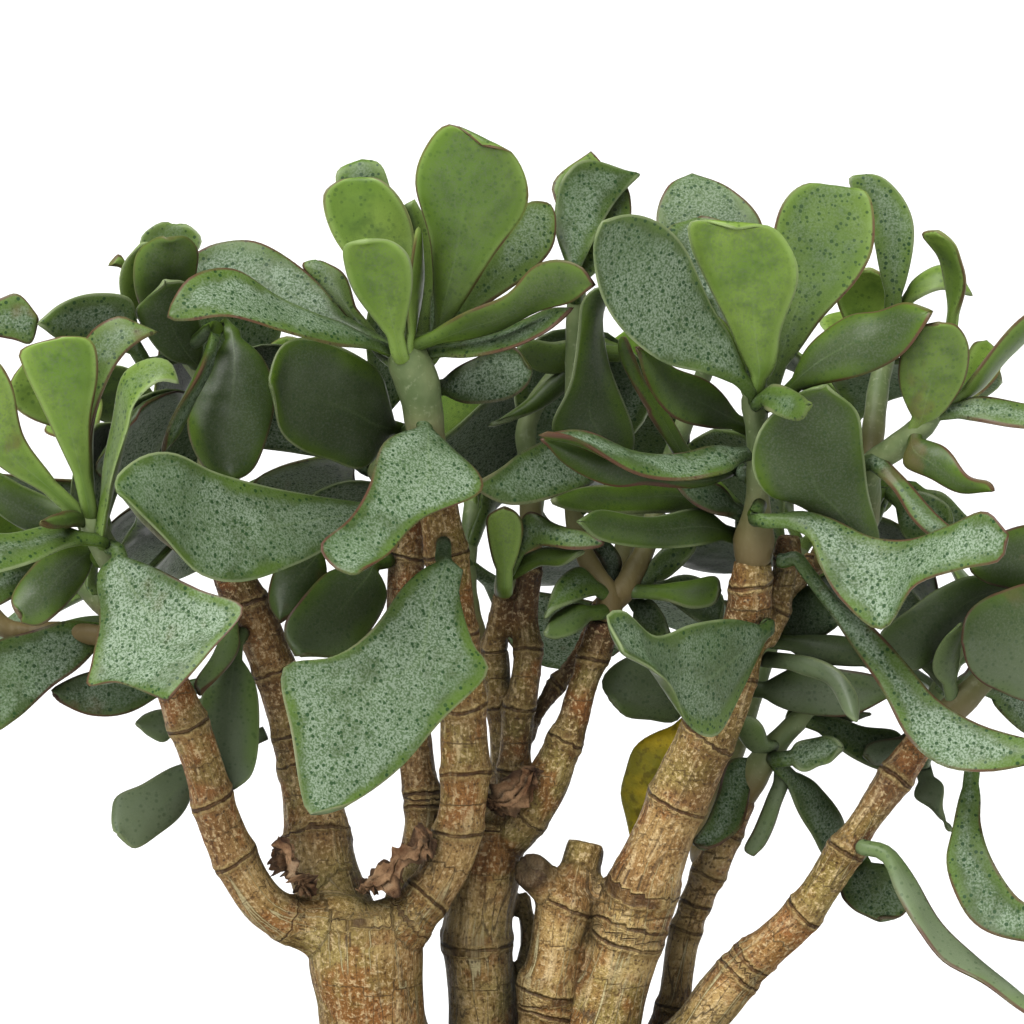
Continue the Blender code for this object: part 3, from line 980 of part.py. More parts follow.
def inside(z):
    """How much smaller the pot's hollow is than its rim at this height, in length and in width."""
    floor = POT_FOOT + POT_FLOOR
    profile = ((floor, 2 * POT_TAPER + 8), (floor + 3, 2 * POT_TAPER), (POT_HEIGHT / 2, POT_TAPER),
               (POT_HEIGHT - 2, 5), (POT_HEIGHT, 3))
    for (low, wide), (high, narrow) in zip(profile, profile[1:]):
        if z <= high:
            return 2 * POT_WALL + wide + (narrow - wide) * max(0, z - low) / (high - low)
    return 2 * POT_WALL + profile[-1][1]


def make_pot(look):
    """The pot: a turned oval bowl with a lip, four feet and two drain holes."""
    taper = POT_TAPER
    rings = []
    lip = POT_HEIGHT - LIP_HEIGHT
    for inset, z in ((2 * taper + 3, POT_FOOT), (2 * taper, POT_FOOT + 3), (0.9 * taper, POT_HEIGHT / 2),
                     (5, lip), (0, lip + 0.6), (0, POT_HEIGHT - 1.5), (3, POT_HEIGHT)):
        rings.append(oval(POT_LENGTH - inset, POT_WIDTH - inset, z))
    for z in (POT_HEIGHT, POT_HEIGHT - 2, POT_HEIGHT / 2, POT_FOOT + POT_FLOOR + 3, POT_FOOT + POT_FLOOR):
        rings.append(oval(POT_LENGTH - inside(z), POT_WIDTH - inside(z), z))
    pot = thing("pot", lathe(rings), look)
    feet = []
    for i in (-1, 1):
        for j in (-1, 1):
            x, y = CENTRE_X + i * POT_LENGTH * FOOT_PLACE, CENTRE_Y + j * POT_WIDTH * FOOT_PLACE
            middle = Vector((x, y, FOOT_BLOCK / 2))
            feet.append(thing("foot", block(middle, (FOOT_LENGTH, FOOT_WIDTH, FOOT_BLOCK)), look))
    combine(pot, feet, "UNION")
    drains = []
    for i in (-1, 1):
        x = CENTRE_X + i * POT_LENGTH * DRAIN_PLACE
        hole = rod(x, CENTRE_Y, -POT_FOOT, 2 * (POT_FOOT + POT_FLOOR), DRAIN_RADIUS, DRAIN_SIDES)
        drains.append(thing("drain", hole, look))
    combine(pot, drains, "DIFFERENCE")


def make_soil(wood, look):
    """The earth fills the pot nearly to its rim, a little heaped, with a hole in it for each stem."""
    gap, floor = SOIL_GAP, POT_FOOT + POT_FLOOR
    rings = []
    for z in (floor, floor + 3, POT_HEIGHT / 2, SOIL_LEVEL - 3):
        inset = inside(z) + 2 * gap
        rings.append(oval(POT_LENGTH - inset, POT_WIDTH - inset, z + gap))
    for inset, rise in SOIL_RISE:
        z = SOIL_LEVEL + rise
        inset += inside(z) + 2 * gap
        rings.append(oval(POT_LENGTH - inset, POT_WIDTH - inset, z))
    soil = thing("soil", lathe(rings), look)
    holes = []
    for name in ROOTED:
        line = wood[name][:5]
        points, radii = [p for p, r in line], [r * RING_SWELL + gap for p, r in line]
        points[0] = points[0] + (points[0] - points[1]).normalized() * gap * 2
        holes.append(thing("hole", tube_solid(points, radii, WOOD_SIDES), look))
    combine(soil, holes, "DIFFERENCE")


def main():
    """Makes the plant, its pot and its earth in an empty scene."""
    for old in list(bpy.data.objects):
        bpy.data.objects.remove(old)
    bark = material("bark", (0.32, 0.22, 0.14), 0.85)
    green = material("jade leaf", (0.16, 0.34, 0.2), 0.5)
    dry = material("dry leaf", (0.3, 0.16, 0.07), 0.8)
    yellow = material("yellow leaf", (0.7, 0.55, 0.15), 0.6)
    clay = material("pot clay", (0.22, 0.12, 0.08), 0.7)
    earth = material("soil", (0.09, 0.06, 0.04), 0.95)

    wood, stems, leaves, left = plant()
    if left:
        print("leaves that still cross something:", left)
    tubes = []
    for name, line in wood.items():
        tube = tube_solid([p for p, r in line], [r for p, r in line], WOOD_SIDES)
        tubes.append(thing("trunk", tube, bark))
    combine(tubes[0], tubes[1:], "UNION")
    tubes[0].name = "trunk"

    nodes = {}
    for name, lines in stems.items():
        pieces = [tube_solid([p for p, r in line], [r for p, r in line], STEM_SIDES) for line in lines]
        nodes[name] = [thing(name, piece, green) for piece in pieces]
    for leaf in leaves:
        kind = leaf.shoot.split("_")[0]
        look = {"dry": dry, "yellow": yellow}.get(kind, green)
        made = thing(leaf.shoot, leaf_solid(leaf, cad_rows(leaf), LEAF_STEPS), look)
        nodes.setdefault(leaf.shoot, []).append(made)
    for name, pieces in nodes.items():
        if len(pieces) > 1:
            combine(pieces[0], pieces[1:], "UNION")
        pieces[0].name = pieces[0].data.name = name
    make_pot(clay)
    make_soil(wood, earth)


main()
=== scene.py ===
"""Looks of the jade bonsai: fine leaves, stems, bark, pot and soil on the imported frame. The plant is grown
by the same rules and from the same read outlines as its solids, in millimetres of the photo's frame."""

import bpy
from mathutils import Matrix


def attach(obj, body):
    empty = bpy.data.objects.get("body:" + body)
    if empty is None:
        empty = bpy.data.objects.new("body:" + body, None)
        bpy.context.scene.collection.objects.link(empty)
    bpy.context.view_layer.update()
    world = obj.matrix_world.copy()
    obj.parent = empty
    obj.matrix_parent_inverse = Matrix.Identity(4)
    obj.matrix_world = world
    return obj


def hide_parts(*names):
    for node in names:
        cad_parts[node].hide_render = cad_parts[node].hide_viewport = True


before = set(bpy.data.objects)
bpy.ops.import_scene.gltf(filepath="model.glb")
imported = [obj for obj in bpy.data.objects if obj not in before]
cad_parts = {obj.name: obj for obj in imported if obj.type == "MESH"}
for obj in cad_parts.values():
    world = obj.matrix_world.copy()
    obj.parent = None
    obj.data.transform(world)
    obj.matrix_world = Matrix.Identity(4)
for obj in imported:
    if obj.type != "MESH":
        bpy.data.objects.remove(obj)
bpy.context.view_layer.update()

import math
import random

import bmesh
import bpy
import numpy as np
from mathutils import Quaternion, Vector, noise
from mathutils.bvhtree import BVHTree


MM = 0.001
# The middle of the pot in the photo's frame. Everything is moved so that it stands over the origin.
CENTRE_X = 5.69
CENTRE_Y = 9.43

# Leaves: flesh in the middle and at the edge, how much thinner the youngest ones and the tips are, the
# stalk's width, and how much farther apart in depth the two ends lie than they were first read.
LEAF_THICK = 2.6
EDGE_THICK = 0.9
YOUNG_THINNER = 0.15
TIP_THINNER = 0.25
PETIOLE = 3.4
SPREAD = 1.3
# The gaps kept between leaves, and between a shoot's foot and the bark.
CLEARANCE = 0.28
STEM_GAP = 0.45
ROOT_GAP = 0.7
# How much the leaf-scar rings swell the wood.
RING_SWELL = 1.09
# Steps along a leaf where its edges are sampled, steps from edge to edge in its plain solid, sides of the
# green stems there, and steps of a curve between two of its points.
EDGE_STEPS = 5
LEAF_STEPS = 2
STEM_SIDES = 5
CURVE_STEPS = 8
# Rings of a leaf's solid that may touch leaves on the same shoot, as they all meet at its stem.
MEETING_RINGS = 3
# Lengths of a crossed pair's leaves from the tip down, how far they open, and how young they are.
PAIR_LENGTHS = (22, 33, 40)
PAIR_ANGLES = (38, 62, 84)
PAIR_YOUTH = (0.9, 0.55, 0.25)
PAIR_STEP = 7.5

# The pot: outside at the rim, wall, floor and feet. Its outline is an oval squared a little by POT_CORNER.
POT_LENGTH = 190.0
POT_WIDTH = 140.0
POT_HEIGHT = 68.0
POT_WALL = 6.0
POT_FOOT = 6.0
POT_FLOOR = 7.0
POT_CORNER = 2.7
POT_TAPER = 9.0
POT_POINTS = 26
LIP_HEIGHT = 11.0
FOOT_BLOCK = 9.0
FOOT_LENGTH = 30.0
FOOT_WIDTH = 16.0
FOOT_PLACE = 0.27
DRAIN_RADIUS = 8.0
DRAIN_PLACE = 0.2
# The earth's level at the pot's wall, and the stems that root in it.
SOIL_LEVEL = 61.0
ROOTED = ("A", "B", "C", "Cback", "D", "E", "F")

# The photo's camera: the point it looks at, how far down it looks, how far it is, and half its picture.
LOOK_AT = (0.0, 0.0, 194.0)
PITCH = math.radians(7.0)
FAR = 1150.0
PICTURE_MIDDLE = 102.4


def seen(x, z, y):
    """The point at depth y that the camera sees at picture place x, z."""
    aim = Vector((0, math.cos(PITCH), -math.sin(PITCH)))
    up = Vector((0, math.sin(PITCH), math.cos(PITCH)))
    eye = Vector(LOOK_AT) - aim * FAR
    ray = aim * FAR + Vector((x, 0, 0)) + up * (z - PICTURE_MIDDLE)
    return eye + ray * ((y - eye.y) / ray.y)


def curve_through(points, count):
    """Evenly spread points on a smooth curve through the given ones, by Catmull-Rom."""
    points = [Vector(p) for p in points]
    ends = [2 * points[0] - points[1]] + points + [2 * points[-1] - points[-2]]
    fine = []
    for i in range(1, len(ends) - 2):
        a, b, c, d = ends[i - 1:i + 3]
        for step in range(CURVE_STEPS):
            t = step / CURVE_STEPS
            fine.append(0.5 * (2 * b + (c - a) * t + (2 * a - 5 * b + 4 * c - d) * t * t
                               + (3 * b - a - 3 * c + d) * t ** 3))
    fine.append(points[-1])
    lengths = [0.0]
    for a, b in zip(fine, fine[1:]):
        lengths.append(lengths[-1] + (b - a).length)
    out, k = [], 0
    for i in range(count + 1):
        want = lengths[-1] * i / count
        while k < len(fine) - 2 and lengths[k + 1] < want:
            k += 1
        span = lengths[k + 1] - lengths[k]
        out.append(fine[k].lerp(fine[k + 1], (want - lengths[k]) / span if span else 0))
    return out


class Leaf:
    """A fleshy leaf between two edge curves. It is swung about its base in depth to clear its neighbours."""

    def __init__(self, shoot, side, youth, base_y, tip_y, tilt, base, first, second, tip, number):
        """A leaf from one row of the table, with a wave and a dish of its own."""
        self.shoot, self.side, self.youth, self.number = shoot, side, youth, number
        self.depths = [base_y, base_y + (tip_y - base_y) * SPREAD, tilt]
        self.base, self.tip = base, tip
        self.edges = (first, second)
        self.root = None
        rng = random.Random(number)
        self.wave = rng.uniform(0.5, 1.3) * (1.1 - 0.9 * youth)
        self.wave_turns = rng.uniform(0.8, 1.5)
        self.phase = (rng.uniform(0, math.tau), rng.uniform(0, math.tau))
        self.dish = rng.uniform(0.02, 0.09)

    def edge_curves(self, count):
        """The two edges as evenly spread points in space, from the base to the tip."""
        base_y, tip_y, tilt = self.depths
        curves = []
        for sign, places in ((1, self.edges[0]), (-1, self.edges[1])):
            flat = list(zip(places[::2], places[1::2]))
            line = [self.base] + flat + [self.tip]
            run = [0.0]
            for a, b in zip(line, line[1:]):
                run.append(run[-1] + math.dist(a, b))
            points = []
            for (x, z), far in zip(line, run):
                u = far / run[-1]
                y = base_y + (tip_y - base_y) * u + sign * tilt * math.sin(math.pi * u) ** 0.7
                points.append(seen(x, z, y))
            curves.append(curve_through(points, count))
        return curves

    def surface(self, along, across):
        """Rows of (point, normal towards the upper side, u, v), from the base to the tip. across is how many
        steps there are from edge to edge, or a list of the v values, from -1 to 1."""
        stations = across if isinstance(across, list) else [2 * j / across - 1 for j in range(across + 1)]
        first, second = self.edge_curves(along)
        middle = [(a + b) / 2 for a, b in zip(first, second)]
        sides = [a - b for a, b in zip(first, second)]
        wide = next(i for i in range(along + 1) if sides[i].length > PETIOLE or i == along // 2)
        for i in range(wide):
            sides[i] = sides[wide].normalized() * PETIOLE
        sides[-1] = sides[-2] * 0.01
        ahead = [(middle[min(i + 1, along)] - middle[max(i - 1, 0)]).normalized() for i in range(along + 1)]
        normals = [a.cross(s).normalized() for a, s in zip(ahead, sides)]
        normals[-1] = normals[-2]
        to_viewer = sum(-n.y * s.length for n, s in zip(normals, sides))
        turn = 1 if (to_viewer > 0) == (self.side == "top") else -1
        rows = []
        for i in range(along + 1):
            u, wide = i / along, sides[i].length
            held = min(u * 4, 1) * (1 if i < along else 0)
            row = []
            for v in stations:
                normal = normals[i] * turn
                lift = self.dish * wide * (v * v - 0.4)
                swing = math.tau * self.wave_turns * u + self.phase[v > 0]
                lift += self.wave * held * abs(v) ** 1.6 * math.sin(swing)
                row.append((middle[i] + sides[i] * (v / 2) + normal * lift * held, normal, u, v))
            rows.append(row)
        return rows


def outward(points, faces):
    """The same solid with its faces turned to look outwards."""
    volume = sum(points[a].dot(points[b].cross(points[c])) for a, b, c in faces)
    return points, faces if volume > 0 else [face[::-1] for face in faces]


def leaf_solid(leaf, along, across, extra=0.0):
    """Corner points and faces of a leaf as a closed solid, with its stalk run to leaf.root if it has one."""
    rows = leaf.surface(along, across)
    points, faces = [], []

    def half(u, v):
        """Half the thickness at a place on the leaf."""
        flesh = LEAF_THICK * (1 - YOUNG_THINNER * leaf.youth) * (1 - TIP_THINNER * u)
        return (EDGE_THICK + (flesh - EDGE_THICK) * (1 - v * v) * min(1, 6 * (1 - u))) / 2 + extra

    rings = []
    base, normal = (rows[0][0][0] + rows[0][-1][0]) / 2, rows[0][0][1]
    side = (rows[0][-1][0] - rows[0][0][0]).normalized()
    blade = (sum((p for p, n, u, v in rows[1]), Vector()) / (across + 1) - base).normalized()
    if leaf.root is not None and (base - leaf.root).length > 0.6:
        stalk = (base - leaf.root).normalized()
        hand = 1 if side.cross(blade).dot(normal) > 0 else -1
        for at, ahead, size in ((leaf.root, stalk, 0.84), (base, (stalk + blade).normalized(), 1.0)):
            across_ring = (side - ahead * side.dot(ahead)).normalized()
            up = across_ring.cross(ahead).normalized() * hand
            rings.append([[at + across_ring * (PETIOLE * size * (j / across - 0.5))
                           + up * face * half(0, 2 * j / across - 1) for j in range(across + 1)]
                          for face in (1, -1)])
        rows = rows[1:]
    for row in rows[:-1]:
        rings.append([[p + n * face * half(u, v) for p, n, u, v in row] for face in (1, -1)])
    index = []
    for ring in rings:
        start = len(points)
        points += ring[0] + ring[1]
        index.append(([start + j for j in range(across + 1)],
                      [start + across + 1 + j for j in range(across + 1)]))
    tip_at, tip_normal = rows[-1][across // 2][:2]
    tip_top = len(points)
    points += [tip_at + tip_normal * half(1, 0), tip_at - tip_normal * half(1, 0)]

    def quad(a, b, c, d):
        """Two triangles for the face a, b, c, d."""
        faces.append((a, b, c))
        faces.append((a, c, d))

    for (top, low), (top_next, low_next) in zip(index, index[1:]):
        for j in range(across):
            quad(top[j], top[j + 1], top_next[j + 1], top_next[j])
            quad(low[j + 1], low[j], low_next[j], low_next[j + 1])
        quad(low[0], top[0], top_next[0], low_next[0])
        quad(top[-1], low[-1], low_next[-1], top_next[-1])
    top, low = index[-1]
    for j in range(across):
        faces.append((top[j], top[j + 1], tip_top))
        faces.append((low[j + 1], low[j], tip_top + 1))
    faces.append((low[0], top[0], tip_top))
    faces.append((low[0], tip_top, tip_top + 1))
    faces.append((top[-1], low[-1], tip_top + 1))
    faces.append((top[-1], tip_top + 1, tip_top))
    top, low = index[0]
    for j in range(across):
        quad(top[j + 1], top[j], low[j], low[j + 1])
    return outward(points, faces)


def tube_solid(line, radii, sides):
    """A stem: rings of points around a line, each carried on from the last so that none is twisted."""
    points, faces = [], []
    across = Vector((0, 1, 0.2))
    for i, (at, radius) in enumerate(zip(line, radii)):
        ahead = (line[min(i + 1, len(line) - 1)] - line[max(i - 1, 0)]).normalized()
        across = (across - ahead * across.dot(ahead)).normalized()
        other = ahead.cross(across)
        for k in range(sides):
            turn = math.tau * k / sides
            points.append(at + (across * math.cos(turn) + other * math.sin(turn)) * radius)
    for i in range(len(line) - 1):
        for k in range(sides):
            a, b = i * sides + k, i * sides + (k + 1) % sides
            faces.append((a, b, b + sides))
            faces.append((a, b + sides, a + sides))
    end = len(points)
    points += [line[0], line[-1]]
    last = (len(line) - 1) * sides
    for k in range(sides):
        faces.append((end, (k + 1) % sides, k))
        faces.append((end + 1, last + k, last + (k + 1) % sides))
    return outward(points, faces)


# Leaves whose two edges can be read in the photo. Each row: shoot, side that faces the viewer,
# youth 0..1, depth of base and tip, how much farther the first edge lies than the second,
# base, first edge, second edge, tip. Picture millimetres: x to the right, z above the photo's lower edge.
SEEN = [
    ("shoot_centre_left", "top", 0.3, -20, -40, 5, (-24, 134.5), (-35, 140.5, -47, 146, -56, 150.3, -64,
     149, -68, 144.5), (-34, 136, -47, 137.8, -57, 141, -64, 141), (-69, 141.3)),
    ("shoot_centre_left", "under", 0.9, -24, -31, 0, (-22.6, 134.5), (-27, 140, -31.5, 146, -33.4, 151,
     -33.5, 155.5), (-21, 141, -19.8, 148, -20.6, 153.5, -24, 156.5), (-29, 156.8)),
    ("shoot_centre_left", "top", 0.9, -13, -7, 0, (-22, 137), (-28, 147, -35.5, 157, -37.8, 165, -35,
     168.3), (-19.5, 146, -19.6, 158, -22, 164.5, -26, 168.5), (-30.5, 169.3)),
    ("shoot_centre_left", "top", 0.6, -6, 3, 0, (-23, 140), (-31, 156, -35.3, 169.5), (-22, 157, -24.6,
     168, -26.5, 172), (-30, 173)),
    ("shoot_centre_left", "under", 0.7, -17, -24, 2, (-15, 136), (-15.8, 146, -16.6, 157, -19.4, 168,
     -17.3, 175.5, -12.5, 180), (-9, 145, -3.3, 154, 2.4, 162, 3, 168, 0, 173.8), (-6, 175.6)),
    ("shoot_centre_left", "top", 0.6, -12, 0, 0, (-14, 138), (-8, 149, -1, 160, 3.2, 164.2), (-4, 144.5,
     3, 149.5, 8, 155, 8.8, 160.5), (7.8, 163.9)),
    ("shoot_centre_left", "under", 0.5, -21, -36, -3, (-20, 135.5), (-10, 142.5, -1, 146, 4, 151, 9,
     152.6, 14, 151.4), (-10, 137, -2, 138.5, 6, 142.4, 12, 144.5), (16.8, 147.8)),
    ("shoot_centre_left", "top", 0.4, -18, -30, 4, (-18, 134), (-8, 137.6, 0, 140, 7, 143.2), (-8, 133.4,
     0, 134.6, 7, 138), (12.4, 143.3)),
    ("shoot_centre_left", "under", 1, -22, -24, -5, (-20.6, 135.5), (-20.9, 144, -20.2, 152, -19.2, 158),
     (-18.6, 143, -17.6, 150, -18, 156.5), (-18.7, 159.5)),
    ("shoot_centre_left", "top", 0.8, -9, -7, 0, (-18, 138), (-21, 150, -22.5, 162), (-15, 150, -17,
     160), (-19.5, 165)),
    ("shoot_centre_left", "top", 0.3, -10, -14, 2, (-16, 127), (-9, 132.5, 0, 135.5), (-9, 124, -1,
     124.5, 3, 127.5), (4, 131)),
    ("shoot_centre_left", "top", 0.2, -21, -46, -4, (-17.5, 119.5), (-25.5, 116.5, -29, 107, -33, 100.5,
     -38.5, 95.5, -36, 91.5), (-12.5, 115.5, -6.3, 106.2, -18, 101, -24.5, 94), (-31, 89.8)),
    ("shoot_centre_left", "under", 0.1, 0, -16, 0, (-23.5, 119), (-25.5, 129, -31, 133.8, -39, 137, -45,
     136), (-29.5, 111.2, -36, 112.6, -42.5, 115, -47, 119.5), (-48.6, 128)),
    ("leaf_3", "top", 0, -20, -44, -5, (-13.5, 92.3), (-17, 91.5, -22, 87.3, -29, 78, -36, 73.4, -46, 71,
     -44, 58, -41.2, 42.4), (-9.8, 91, -10.5, 86, -8, 76, -5.3, 70, -14, 61, -22, 51.5, -30, 45.4), (-36,
     43.2)),
    ("shoot_centre_right", "under", 0.9, -26, -32, 0, (49, 127.5), (45.5, 134, 43, 140, 38, 150, 35.6,
     156, 36, 160.5), (52.5, 131, 54, 139, 57.2, 148, 56.3, 154, 52, 159.3), (45, 159)),
    ("shoot_centre_right", "top", 0.7, -16, -8, 0, (52, 128), (51, 140, 51.3, 152, 53.5, 163, 58.5, 168),
     (57, 134, 62, 141, 69, 148.8, 72.2, 156, 71.3, 165.5), (65, 167)),
    ("shoot_centre_right", "top", 0.5, -8, 8, 0, (44.5, 140), (34, 148, 29, 159, 31, 167), (50, 150, 50,
     160, 44, 166.5), (36, 170.2)),
    ("shoot_centre_right", "top", 0.3, -13, -6, 0, (42, 142), (33, 150, 31, 158), (47, 152, 47, 158.6,
     42, 160.2), (37, 161.3)),
    ("shoot_centre_right", "top", 0.3, -26, -44, 4, (48, 126.5), (44, 136.5, 40, 143.5, 34.5, 155, 29,
     160.4, 23, 162.2), (39, 130, 30, 132.4, 21.5, 139, 17, 146.5, 16, 155), (18, 160.6)),
    ("shoot_centre_right", "under", 0.3, -24, -33, 3, (55, 126), (57.3, 132, 61, 137.5, 67, 142, 73,
     142.8, 79, 144.3), (62, 127.7, 70, 130, 78, 134, 82.5, 139), (84.3, 142.6)),
    ("shoot_centre_right", "top", 0.4, -27, -42, 4, (49.5, 124.5), (51.5, 127.3, 56, 127), (52, 122, 57,
     121), (60, 124)),
    ("shoot_centre_right", "under", 0.9, -21, -18, 0, (47, 128), (41.5, 135, 37.6, 141), (47, 134, 43.5,
     139.5), (40.5, 142)),
    ("shoot_right_crown", "under", 0.1, -22, -32, 0, (72.5, 92), (65, 98, 57.5, 103, 51, 105.5, 48, 112,
     50, 120, 57, 126.6), (73.6, 97, 71.6, 105, 70.3, 115, 69, 123), (63, 128)),
    ("shoot_centre_right", "top", 0.2, -20, -42, 4, (48.5, 114.5), (41, 115.5, 34, 114.2, 24, 115.2, 14,
     117.6), (43, 110, 36, 108.2, 28, 109.6, 19, 113.3, 12, 116.3), (5.2, 117.8)),
    ("shoot_centre_right", "under", 0.1, -14, -38, 0, (44, 111), (34, 110, 24, 112, 12, 116), (38, 107.6,
     28, 108.3, 20, 107.5, 12, 111), (5.5, 117)),
    ("shoot_inner", "top", 0.3, 2, 14, 0, (12.5, 148), (8.8, 158, 9, 166, 11, 170.5, 15, 172.6), (15,
     154, 18, 160, 21.5, 165.5), (25.7, 170)),
    ("shoot_inner", "top", 0.7, 10, 22, 0, (14, 150), (9, 163, 8.4, 168.5), (20, 160, 19, 170), (15.8,
     174.6)),
    ("shoot_inner", "top", 0.6, 8, 18, 0, (14, 150), (16, 158, 20, 166), (20, 152, 23.6, 160, 23.7, 165),
     (22.5, 168)),
    ("shoot_inner", "under", 0.2, 4, -10, -3, (20, 107), (10.5, 116, 8, 120, 11.3, 128, 13, 138, 13.8,
     144), (24, 114, 24, 120, 20, 131, 18.6, 141, 20, 147), (16.5, 147.2)),
    ("shoot_inner", "top", 0.1, 0, -20, 3, (20, 111), (10, 117, 3, 115, -3, 110.8), (14, 107, 6, 104.4,
     -1, 104.1), (-8, 107.8)),
    ("shoot_left", "top", 0, -34, -52, 3, (-78.5, 93.5), (-83, 90, -82.5, 80, -83.5, 72, -84, 66.6, -78,
     67.6), (-72, 91.5, -62, 86.6, -53.6, 83.2, -60, 75.5), (-68.7, 64.6)),
    ("leaf_7", "top", 0, -10, -44, 5, (-20, 103), (-40, 105.8, -50, 107.5, -60, 110.2, -68, 114, -74,
     113.6, -79, 109.8), (-35, 96, -43, 92, -54, 88.4, -63, 90, -70, 97, -76, 103), (-79.2, 106.5)),
    ("shoot_left", "under", 0.9, -32, -36, 0, (-84.6, 103.5), (-90, 114.5, -94, 123, -98, 131.5, -98,
     135), (-84.2, 112, -84.2, 121, -82.8, 130, -84, 136.4), (-90, 137.6)),
    ("shoot_left", "top", 0.6, -27, -24, 3, (-84.5, 104.5), (-86.5, 118, -87, 130, -84.5, 137.5, -79,
     141.2, -75, 140), (-83.5, 118, -81, 128, -78, 133.5, -74, 136.8), (-70.6, 138.4)),
    ("shoot_left", "top", 0.7, -33, -36, 4, (-82.4, 98.5), (-81.6, 108, -79.5, 120, -78, 129.5, -73, 133,
     -68.5, 132.4), (-79.5, 108, -76.8, 118, -75.5, 124, -71, 128.3), (-66.5, 128)),
    ("shoot_left", "under", 0.8, -31, -34, 0, (-87, 102.3), (-95, 107, -102, 111, -110, 118, -113, 125),
     (-91.5, 109, -97.6, 117.5, -100, 128, -104, 133.5), (-109.5, 133)),
    ("shoot_left", "top", 0.3, -34, -50, 4, (-82.8, 96.8), (-90, 99.2, -100, 98.3, -108, 98), (-89, 94.9,
     -97, 92, -106, 89.5), (-113, 92.5)),
    ("shoot_right_crown", "under", 0.7, -27, -33, 0, (81, 119.5), (77.5, 127, 77.8, 134, 81, 139.2), (86,
     122, 90.4, 128, 91.5, 134.5, 89.4, 139), (85.5, 140.4)),
    ("shoot_right_crown", "top", 0.5, -26, -30, 2, (85, 122.2), (93, 125.2, 102, 124.4, 110, 122.5), (92,
     120.6, 100, 118.9, 108, 119), (114, 120.6)),
    ("shoot_right_crown", "under", 0.6, -25, -28, -4, (88.5, 124.5), (93, 131, 98, 137, 103, 141.5), (94,
     127, 99, 133, 105, 138.8), (109, 145)),
    ("shoot_right_crown", "top", 0.9, -14, -4, 0, (88.5, 124.5), (90, 131, 92, 135.8), (93, 125.4, 97.4,
     130, 97, 134), (95, 136.7)),
    ("shoot_right_crown", "under", 0.4, -27, -38, -2, (80.5, 117.5), (86, 115.6, 91, 110, 95.5, 108.6),
     (78, 112, 84, 108.9, 90, 106.2), (96.6, 106.6)),
    ("shoot_right_crown", "top", 0.5, 0, 6, 0, (76, 141), (73.6, 150, 71.5, 160, 67.3, 168.6), (79, 149,
     80.5, 158, 79, 164, 75, 168.7), (71, 170)),
    ("shoot_right_crown", "top", 0.9, -6, -10, 3, (87.8, 138), (86.8, 147, 85.5, 153.5, 82, 158), (90.8,
     147, 90, 153, 88.6, 156.5), (85, 158.8)),
    ("shoot_right_crown", "top", 0.9, 4, 2, 2, (78, 143), (80, 148.5, 85, 151.8, 89, 150.5), (81.5, 145,
     86, 146.8, 90, 146), (92.2, 145.6)),
    ("shoot_centre_right", "top", 0.1, -16, -34, 4, (50, 100.6), (57, 102.6, 64, 101.3, 72, 97.6, 80, 97,
     88, 99.4, 95, 102.4), (59, 97.5, 61.5, 91.5, 66, 84.5, 74, 78.9, 80, 87.6, 90, 90.8, 98, 92.6),
     (99.4, 98)),
    ("leaf_9", "top", 0.2, -18, -38, 2, (57.5, 92.5), (66, 84, 72, 79, 79, 71.5, 85, 65, 93, 60.3, 102,
     57.6, 108, 56.5), (61, 86.5, 68, 76, 74, 66.5, 79, 57, 86, 51.3, 95, 50.2, 104, 52), (112, 54)),
    ("leaf_10", "top", 0.1, -18, -50, -4, (51.5, 79.3), (44, 81, 36, 80, 28, 77.6, 21, 82.3, 18, 80.6),
     (48.5, 72, 44, 62, 40, 57.4, 34.5, 59.8, 30, 68), (22.4, 74.2)),
    ("leaf_11", "under", 0.2, -8, -20, 0, (50.5, 73), (58, 73.8, 65, 71.2, 69, 66), (57, 70.2, 63, 68,
     66.6, 62), (69, 60.3)),
    ("shoot_right_crown", "top", 0.4, -22, -34, 2, (70, 112), (73, 114.4, 78, 109.5, 84, 103), (76, 107,
     80, 101, 84.6, 97), (88.7, 98.6)),
    ("shoot_centre_left", "top", 0.3, 0, 10, 3, (-31, 138.5), (-40, 149.5, -50, 156.2, -58, 156.2, -63.6,
     153.5), (-45, 140, -57, 145, -64.3, 148), (-64.8, 151)),
    ("shoot_centre_left", "top", 0.6, 2, 8, 0, (-28, 137), (-36, 144, -42, 151.6), (-31, 143, -33.5,
     150), (-39, 152.7)),
    ("shoot_left_crown", "under", 0.5, 4, -3, 0, (-70, 138), (-74.5, 144, -75.8, 150, -74.5, 154.5),
     (-65, 144, -62.7, 153, -65, 157), (-69, 157.2)),
    ("shoot_left_crown", "top", 0.9, 9, 3, 0, (-72, 139), (-77, 143, -78.6, 148, -77.6, 152.4), (-71,
     148, -71, 155.4), (-74, 156.3)),
    ("shoot_left_crown", "top", 0.6, 12, 16, 0, (-70, 141), (-73, 150, -74.4, 156.4, -71.5, 159.4), (-66,
     150, -62, 156, -64, 159), (-67.6, 159.9)),
    ("shoot_left_crown", "top", 0.9, 9, 7, 0, (-72, 144), (-76, 150, -78.5, 154), (-75, 147, -78, 151),
     (-80.8, 151.6)),
    ("shoot_left_crown", "under", 0.3, 1, -8, 0, (-62, 131), (-70, 134, -75, 141, -73.4, 144.5), (-62,
     139, -65, 147.6), (-69.5, 149)),
    ("shoot_left_crown", "top", 0.2, -2, -12, 0, (-74, 133), (-75, 141, -77, 145.6, -84, 146.4, -90,
     144.4), (-82, 136, -90, 136.6), (-95, 140)),
    ("shoot_far_left", "top", 0.5, -10, -12, 0, (-114, 136), (-108, 142, -102, 145.3, -98.5, 145.8),
     (-106, 137.6, -100, 137, -96, 136.2), (-94.6, 141)),
